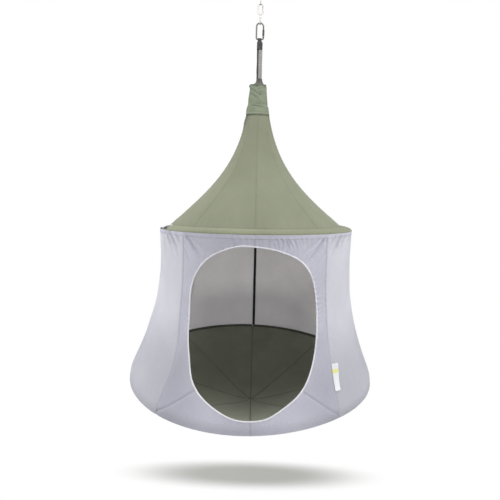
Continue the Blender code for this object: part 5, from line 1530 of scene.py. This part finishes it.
def webbingLoop(name, node, material, path, weave, width, thickness, sizes=None):
    # weave is how far the tape strays sideways, how fast, and from where
    path = np.array(path)
    stray, pace, start = weave
    path[:, 0] += stray * np.sin(path[:, 2] * pace + start)
    mesh = sweepMesh(name, path, (1, 0, 0), tapeSection(width, thickness), sizes=sizes)
    rigid(mesh, material, "pod", node, 50)


def sling(s):
    x, y, up = s["blackShift"], s["blackDepth"], hoopHeight
    heights = np.linspace(s["blackEnd"], s["taperEnd"], 40)
    path = [(x, -y, z + up) for z in heights]
    path += arcPoints((x, 0, s["bar"] + up), s["overBar"], 180, 0, 21, (0, 1, 0))
    path += [(x, y, z + up) for z in heights[::-1]]
    bunched = 1 - (1 - s["atBar"]) * ramp(np.array(path)[:, 2] - up, s["bar"] - s["bunchFrom"], s["bunchOver"])
    webbingLoop("slingBlack", "sling_webbing_black", blackWebbing, path, (0.0006, 60, 0),
                s["blackWidth"], s["thickness"], bunched)
    x, y = s["greyShift"], s["greyDepth"]
    heights = np.linspace(s["greyTop"], s["ringTop"], 40)[:-1]
    path = [(x, -y, z + up) for z in heights]
    path += arcPoints((x, 0, s["ringTop"] + up), y, 180, 360, 17, (0, 1, 0))
    path += [(x, y, z + up) for z in heights[::-1]]
    webbingLoop("slingGrey", "sling_webbing_grey", greyWebbing, path, (0.0005, 45, 1),
                s["greyWidth"], s["thickness"])


keeperSizes = {
    "left": -0.0178, "right": 0.0196, "depth": 0.0086, "wall": 0.0015, "drop": 0.022, "length": 0.048,
    "pitch": 0.0034, "stitch": 0.0028, "thread": 0.0009,
}


def keeper(s):
    # black cloth tape wrapped round both webbings and sewn through, so its middle pulls in
    left, right, depth, wall, length = (s[size] for size in ("left", "right", "depth", "wall", "length"))
    top = slingSizes["bar"] + hoopHeight - s["drop"]
    outer = softened([(left, -depth), (right, -depth), (right, depth), (left, depth)], 0.0042, 6)
    inner = softened([(left + wall, -depth + wall), (right - wall, -depth + wall), (right - wall, depth - wall),
                      (left + wall, depth - wall)], 0.0030, 6)
    rings = []
    for share in np.linspace(0, 1, 36):
        drop = share * length
        ring = outer * (1 - 0.035 * (1 - min(1.0, min(share, 1 - share) / 0.03)))
        wobble = waves(ring[:, 0] * 4, drop * 2 + ring[:, 1] * 3, 0.06, 71)
        ring += unit(ring) * (0.0005 * wobble - 0.0005)[:, None]
        rings.append(np.column_stack([ring, np.full(len(ring), top - drop)]))
    rings += [np.column_stack([inner, np.full(len(inner), top - drop)]) for drop in (length, 0.0)]
    rings = np.array(rings)
    mesh = solidMesh("slingKeeper", rings, closed=True, uv=stacked(rings[..., 0], rings[..., 2]))
    rigid(mesh, blackWebbing, "pod", "sling_keeper", 50)
    rows = []  # a box of stitches with a cross in it, on both faces
    x1, x2, z1, z2 = left + 0.0045, right - 0.0045, top - 0.005, top - length + 0.005
    box = [(x1, z1), (x2, z1), (x2, z2), (x1, z2)]
    for face in (-1, 1):
        for loop in (box + box[:1], box[0::2], box[1::2]):
            points = np.concatenate([np.linspace(a, b, 8)[:-1] for a, b in zip(loop, loop[1:])] + [[loop[-1]]])
            y = np.full(len(points), face * (depth - 0.0002))
            rows.append((np.column_stack([points[:, 0], y, points[:, 1]]), (0, face, 0), False))
    sewn("keeperStitches", rows, blackThread, "black_webbing", s["pitch"], s["stitch"], s["thread"])


ringSizes = {"rise": 0.036, "reach": 0.031, "corner": 0.0065, "wire": 0.004}


def gatherRing(s):
    top = slingSizes["ringTop"]
    high, low = top - s["corner"], top - s["rise"] + s["corner"]
    path = []
    for side, height, start in ((1, high, 0), (-1, high, 90), (-1, low, 180), (1, low, 270)):
        path += arcPoints((side * s["reach"], 0, height + hoopHeight), s["corner"], start, start + 90, 9)
    mesh = sweepMesh("gatherRing", path, (0, 1, 0), circle(s["wire"], 20), closed=True)
    rigid(mesh, zincSteel, "pod", "gather_ring", None)


strapSizes = {
    "places": {"left": (-85.0, -1), "back": (179.3, 0), "right": (85.0, 1)},
    "width": 0.020, "spacing": 0.021, "thickness": 0.0020, "tail": 0.022, "loop": 0.0053,
    "inside": 0.0070,                # how far inside the roof and wall it runs
    "barHeight": 1.764, "hem": 1.600,
    "roofReach": 0.520,              # it follows the roof out to this radius
    "wall": (0.825, 0.035, 0.0135),  # and the wall from one height to the next, then hangs down to the last
    "turn": (0.055, 0.12),           # where along it, and over what length, it turns to lie flat on the cloth
    # past the eave pole: (radius, height)
    "passing": ((0.548, 0.8935), (0.5700, 0.8890), (0.5790, 0.8800), (0.5815, 0.8690), (0.5830, 0.8540)),
}


def strap(node, azimuth, place, s):
    # looped over the gather ring, then down inside the roof and wall to the hoop
    angle = math.radians(azimuth)
    tangent = np.array([math.cos(angle), math.sin(angle), 0])
    tangent = -tangent if tangent[0] < 0 else tangent
    bar = np.array([place * s["spacing"], 0, s["barHeight"] + hoopHeight])
    start = [bar + (0, -s["loop"], -s["tail"]), bar + (0, -s["loop"], -s["tail"] / 2)]
    start += arcPoints(bar, s["loop"], 180, 0, 13, (0, 1, 0)) + [bar + (0, s["loop"], -s["tail"] / 2)]
    radius, height = meridian(roofCurve, np.linspace(0, 1, 60), -s["inside"])
    roof = [(r, h) for r, h in zip(radius, height) if h < s["hem"] and r < s["roofReach"]]
    high, low, end = s["wall"]
    radius, height = meridian(wallCurve, np.linspace(high, low, 44), -s["inside"])
    wall = list(zip(radius, height)) + [(float(radius[-1]), end)]
    line = [podPoint(azimuth, r, h) for r, h in roof + list(s["passing"]) + wall]
    between = [start[-1] + (line[0] - start[-1]) * share for share in (0.25, 0.5, 0.75)]
    path = smoothPath(start + between + line, 0.006)
    turn = ramp(walkedAlong(path), *s["turn"])[:, None]
    turn = turn * turn * (3 - 2 * turn)
    side = np.array([1.0, 0, 0]) * (1 - turn) + tangent * turn
    mesh = sweepMesh("strap" + node.title(), path, side, tapeSection(s["width"], s["thickness"]))
    rigid(mesh, blackWebbing, "pod", "strap_" + node, 50)


sling(slingSizes)
keeper(keeperSizes)
gatherRing(ringSizes)
for node, (azimuth, place) in strapSizes["places"].items():
    strap(node, azimuth, place, strapSizes)
print("sling and straps made")


# Eave pole, its ferrule and its tunnel

def hoopRing(line, radius, azimuth):
    # points round a hoop's own line, seen as a slice at each azimuth
    angle = turnAngles(radius.shape[-1])
    return podPoint(np.asarray(azimuth)[:, None], line[0] + radius * np.cos(angle), line[1] + radius * np.sin(angle))


def hoopTube(name, line, outer, inner, azimuth, sides=24, relief=0.0):
    # a tube along a hoop, with a real wall and open ends. relief is its outside's unevenness
    ends = np.zeros(len(azimuth))
    ends[[0, -1]] = min(0.0004, (outer - inner) / 3)
    outside = np.full((len(azimuth), sides), outer) + relief - ends[:, None]
    inside = np.full((len(azimuth), sides), inner)
    rings = np.concatenate([hoopRing(line, outside, azimuth), hoopRing(line, inside, azimuth)[::-1]])
    way = np.radians(azimuth)[:, None] * line[0]
    around = np.linspace(0, 2 * np.pi * outer, sides, endpoint=False)[None]
    uv = stacked(way, around)
    return solidMesh(name, rings, closed=True, uv=np.concatenate([uv, uv[::-1]]))


def gatheredRelief(line, azimuth, sides, depth, step, swirl, length, seed):
    # the gathers of a sewn sleeve
    around = turnAngles(sides)[None]
    way = np.radians(azimuth)[:, None] * line[0]
    uneven = swirl * np.cos(around) + 2 * waves(way, around * 0.01, length, seed)
    return -depth * (0.5 + 0.5 * np.sin(2 * np.pi * way / step + uneven))


def edged(start, end, step, first):
    # even azimuths with one more close to each end
    even = np.linspace(start, end, max(2, int(abs(end - start) / step) + 1))
    return np.concatenate([[start, start + first], even[1:-1], [end - first, end]])


poleSizes = {
    "centre": 0.5944, "height": 0.8775, "radius": 0.0055, "joint": -73.375, "gap": 0.03,
    "tunnelRadius": 0.0073, "tunnelBore": 0.0059, "gather": 0.0007, "gatherStep": 0.026,
    "ferruleRadius": 0.0072, "ferruleBore": 0.0058, "ferruleArc": 4.0,
    "crimps": (-3.2, -2.6, 2.6, 3.2), "crimpDepth": 0.0005, "crimpWidth": 0.22,  # degrees
}


def eavePole(s):
    line, joint, arc = (s["centre"], s["height"]), s["joint"], s["ferruleArc"]
    path = podPoint(np.linspace(joint + s["gap"], joint + 360 - s["gap"], 300), *line)
    rod = grown("eavePole", bentRod, {"Radius": s["radius"], "Sides": 20, "Material": blackRod}, "pod",
                lineMesh("eavePoleLine", [(path, (0, 0, 1), False)]))
    dressed(rod, "eave_pole")
    azimuth = edged(joint - arc, joint + arc, 0.8, 0.05)
    groove = sum(-s["crimpDepth"] * hump(azimuth, joint + place, s["crimpWidth"]) for place in s["crimps"])
    mesh = hoopTube("eaveFerrule", line, s["ferruleRadius"], s["ferruleBore"], azimuth, 28, groove[:, None])
    rigid(mesh, blackPaint, "pod", "eave_ferrule", 50)
    middle, arc = brimSizes["scallopAzimuth"], brimSizes["scallopArc"]
    azimuth = edged(middle + arc, middle + 360 - arc, 0.6, 0.1)
    relief = gatheredRelief(line, azimuth, 20, s["gather"], s["gatherStep"], 2, 0.2, 81)
    mesh = hoopTube("eaveTunnel", line, s["tunnelRadius"], s["tunnelBore"], azimuth, 20, relief)
    tunnel = rigid(mesh, oliveCanvas, "pod", "eave_tunnel", None)


eavePole(poleSizes)
print("eave pole made")


# Floor hoop

hoopSizes = {
    "joint": 61.75, "gap": 0.03, "tubeWall": 0.0018, "spigotRadius": 0.0104, "spigotArc": 4.0,
    "sleeveBore": 0.0128, "sleeveOpening": 0.15, "gather": 0.0010, "gatherStep": 0.031,
}


def floorHoop(s):
    line, joint, tube = (podSizes["hoopRadius"], 0.0), s["joint"], podSizes["hoopTube"]
    for node, start, end in (("left", -180, -joint), ("front", -joint, joint), ("right", joint, 180)):
        azimuth = edged(start + s["gap"], end - s["gap"], 1.2, 0.05)
        mesh = hoopTube("hoopTube" + node.title(), line, tube, tube - s["tubeWall"], azimuth, 28)
        rigid(mesh, hoopAlloy, "pod", "hoop_tube_" + node, 50)
    for node, place in (("left", -joint), ("right", joint), ("back", 180.0)):
        azimuth = np.linspace(place - s["spigotArc"], place + s["spigotArc"], 21)
        azimuth = np.concatenate([azimuth[:1] - 0.06, azimuth, azimuth[-1:] + 0.06])
        radius = np.full((len(azimuth), 24), s["spigotRadius"])
        radius[[0, -1]] *= 0.86
        mesh = solidMesh("hoopSpigot" + node.title(), hoopRing(line, radius, azimuth))
        rigid(mesh, hoopAlloy, "pod", "hoop_spigot_" + node, 50)
    azimuth = edged(-180 + s["sleeveOpening"], 180 - s["sleeveOpening"], 0.6, 0.1)
    relief = gatheredRelief(line, azimuth, 26, s["gather"], s["gatherStep"], 3, 0.25, 91)
    mesh = hoopTube("hoopSleeve", line, podSizes["sleeve"], s["sleeveBore"], azimuth, 26, relief)
    sleeve = rigid(mesh, sleeveCanvas, "pod", "hoop_sleeve", None)


floorHoop(hoopSizes)
print("floor hoop made")


# Hem strip round the top of the wall

hemSizes = {
    "top": 0.8800, "bottom": 0.8585, "proud": 0.0006, "buried": 0.0001, "pucker": 0.0002, "puckerStep": 0.016,
    "lineShade": 0.1,  # painted shadow along its lower edge, as a share of its height
}


def wallHem(s):
    azimuth = np.arange(-180, 180, 0.5)[None]
    share = np.array([0.0, 0.06, 0.15, 0.35, 0.6, 0.8, 0.93, 1.0])[:, None]
    height, way = s["top"] - (s["top"] - s["bottom"]) * share, wallWay(azimuth)
    pucker = s["pucker"] * np.sin(2 * np.pi * way / s["puckerStep"] + 2 * waves(way, height, 0.1, 95)) * share
    proud = s["proud"] * np.clip(np.minimum(share, 1 - share) / 0.06, 0.5, 1) + pucker
    relief = wallRelief(azimuth, np.minimum(height, 0.879))
    dip = eaveDip(azimuth, height)
    radius, z = meridian(wallCurve, height, relief + proud)
    outer = podPoint(azimuth, radius, z - dip)
    radius, z = meridian(wallCurve, height[::-1], relief[::-1] - s["buried"])
    inner = podPoint(azimuth, radius, z - dip[::-1])
    uv = stacked(way, height)
    rings, uv = np.concatenate([outer, inner[[0, 4, 7]]]), np.concatenate([uv, uv[[7, 4, 0]]])
    shade = np.zeros(rings.shape[:2])
    shade[:len(share)] = hump(share, 1, s["lineShade"])
    mesh = gridMesh("wallHem", rings, uv, shade, closedRound=True, closedAlong=True)
    item = linkMesh("wallHem", mesh, [hemCotton], "pod")


hemCotton = wovenCloth("palePolycottonHem", "#E4E5EF", "#DBDCE7", through=0.40, seam="#84858F", seamAndShadeShare=0.14)
wallHem(hemSizes)
print("wall hem made")


# Door binding

bindingSizes = {
    # the tape's section: its lap over the cloth, its back behind the cloth's face, and its rounded corners
    "over": -0.0014, "behind": -0.0040, "round": 0.0024,
    "inset": 0.0003,    # all of it sits this far into the opening
    "pinch": 0.05, "pinchStep": 0.013, "pinchReach": 0.06,
    "stitchRow": 0.62,  # where its stitches run, as a share of its width
    "pitch": 0.0050, "stitch": 0.0038, "thread": 0.0009,
}


def doorBinding(s):
    angle = evenAngles(-180, 180, 1001)[0][:-1]
    width, proud = doorSizes["bindingWidth"] - 0.0005, doorSizes["bindingProud"]
    over, behind, inset = s["over"], s["behind"], s["inset"]
    section = softened([(over, behind), (over, proud), (width, proud), (width, behind)], s["round"], 5)
    edgeX, edgeH = doorOutline(angle, inset)
    relief = frontRelief(chart(edgeX, edgeH), edgeH)
    walked = np.linspace(0, ringLength, len(angle), endpoint=False)
    pinch = 1 + s["pinch"] * np.sin(2 * np.pi * walked / s["pinchStep"]) \
        + s["pinch"] * waves(walked, 0 * walked, s["pinchReach"], 97)
    rings = []
    for draw, out in section:
        x, h = doorOutline(angle, draw + inset)
        out = np.where(out > 0, out * pinch, out)
        radius, height = meridian(wallCurve, h, relief + out)
        rings.append(podPoint(chart(x, h), radius, height))
    rings = np.array(rings).transpose(1, 0, 2)
    around = np.linspace(0, 0.02, len(section))[None]
    uv = stacked(around, walked[:, None])
    mesh = solidMesh("doorBinding", rings, closed=True, uv=uv)
    item = rigid(mesh, bindingTape, "pod", "door_binding", None)
    x, h = doorOutline(angle, doorSizes["bindingWidth"] * s["stitchRow"])
    azimuth = chart(x, h)
    low = podPoint(azimuth, *meridian(wallCurve, h, relief + proud * 0.93))
    high = podPoint(azimuth, *meridian(wallCurve, h, relief + proud + 0.001))
    sewn("bindingStitches", [(low, unit(high - low), True)], paleThread, "white_binding", s["pitch"], s["stitch"],
         s["thread"])


doorBinding(bindingSizes)
print("door binding made")


# Care tag, left blank

tagSizes = {
    "start": 38.5, "width": 0.028, "top": 0.238, "length": 0.124, "cloth": 0.0006,
    "barLow": 0.080, "barHigh": 0.099,
    "root": 0.0016, "lift": 0.0200,  # how far its sewn edge and its free edge stand off the wall
    "ripple": 0.0008,
}


def careTag(s):
    down, across = np.linspace(0, 1, 41)[:, None], np.linspace(0, 1, 13)[None]
    height = s["top"] - s["length"] * down
    azimuth = s["start"] + np.degrees(s["width"] / wallRadius(height)) * across
    proud = s["root"] + s["lift"] * across * (0.75 + 0.25 * np.cos(3.0 * down))
    proud = proud + s["ripple"] * np.sin(5 * down + 2 * across) * across
    relief = wallRelief(azimuth, height)
    smooth = (relief.mean(axis=1, keepdims=True) + relief.max(axis=1, keepdims=True)) / 2
    points = podPoint(azimuth, *meridian(wallCurve, height, smooth + proud))
    uv = stacked(across * s["width"], s["length"] * (1 - down))
    material = labelTape("whiteSatinLabelTape", s["barLow"], s["barHigh"])
    item = soft(gridMesh("careTag", points, uv), [material], "care_tag", s["cloth"])


careTag(tagSizes)
print("care tag made")


# Stitching along the seams and hems

def surfaceRow(curve, azimuth, parameter, out):
    # points just on the cloth, and the way out of it there
    low = podPoint(azimuth, *meridian(curve, parameter, out))
    high = podPoint(azimuth, *meridian(curve, parameter, out + 0.001))
    return low, unit(high - low)


def seamRows():
    # two rows beside each seam, and one round the hem strip and round the skirt
    beside, wallTop, hemLine, skirtLine = (stitchSizes[name] for name in
                                           ("besideSeam", "wallTop", "hemLine", "skirtLine"))
    wall, roof = [], []
    for seam in seamAzimuths[1:]:
        bottom = doorSizes["sillCorner"] + 0.006 if abs(seam) < sideSeam else 0.004
        if seam == 0:
            bottom = doorSizes["top"] + 0.004
        for side in (-1, 1):
            height = np.linspace(wallTop, bottom, max(4, int(abs(wallTop - bottom) / 0.003)))
            azimuth = seam + side * np.degrees(beside / wallRadius(height))
            onFront = abs(seam) < 1 or (abs(seam) < sideSeam and side * seam < 0)
            relief = (frontRelief if onFront else wallRelief)(azimuth, height)
            wall.append(surfaceRow(wallCurve, azimuth, height, relief) + (False,))
            share = np.linspace(0.03, 0.988, 260)
            azimuth = seam + side * np.degrees(beside / roofCurve(share)[0])
            roof.append(surfaceRow(roofCurve, azimuth, share, roofRelief(azimuth, share)) + (False,))
    for side in (-1, 1):
        sillX = np.linspace(sillCornerX - 0.012, sillMeet[side] + 0.012, 160)
        for shift in (-beside, beside):
            height = sillHeight(sillX) + shift * math.hypot(1, sillSlope)
            azimuth = side * chart(sillX, height)
            wall.append(surfaceRow(wallCurve, azimuth, height, frontRelief(azimuth, height)) + (False,))
    ring = np.arange(-180, 180, 0.25)
    relief = wallRelief(ring, hemLine) + hemSizes["proud"]
    wall.append(surfaceRow(wallCurve, ring, np.full(ring.shape, hemLine), relief) + (True,))
    low = np.full(ring.shape, skirtLine)
    relief = np.where(np.abs(ring) < doorSeam, frontRelief(ring, low), wallRelief(ring, low))
    wall.append(surfaceRow(wallCurve, ring, low, relief) + (True,))
    return wall, roof


wallRows, roofRows = seamRows()
sewn("wallStitches", wallRows, paleThread, "pale_cloth")
sewn("roofStitches", roofRows, oliveThread, "olive_cloth")
print("stitches sewn")
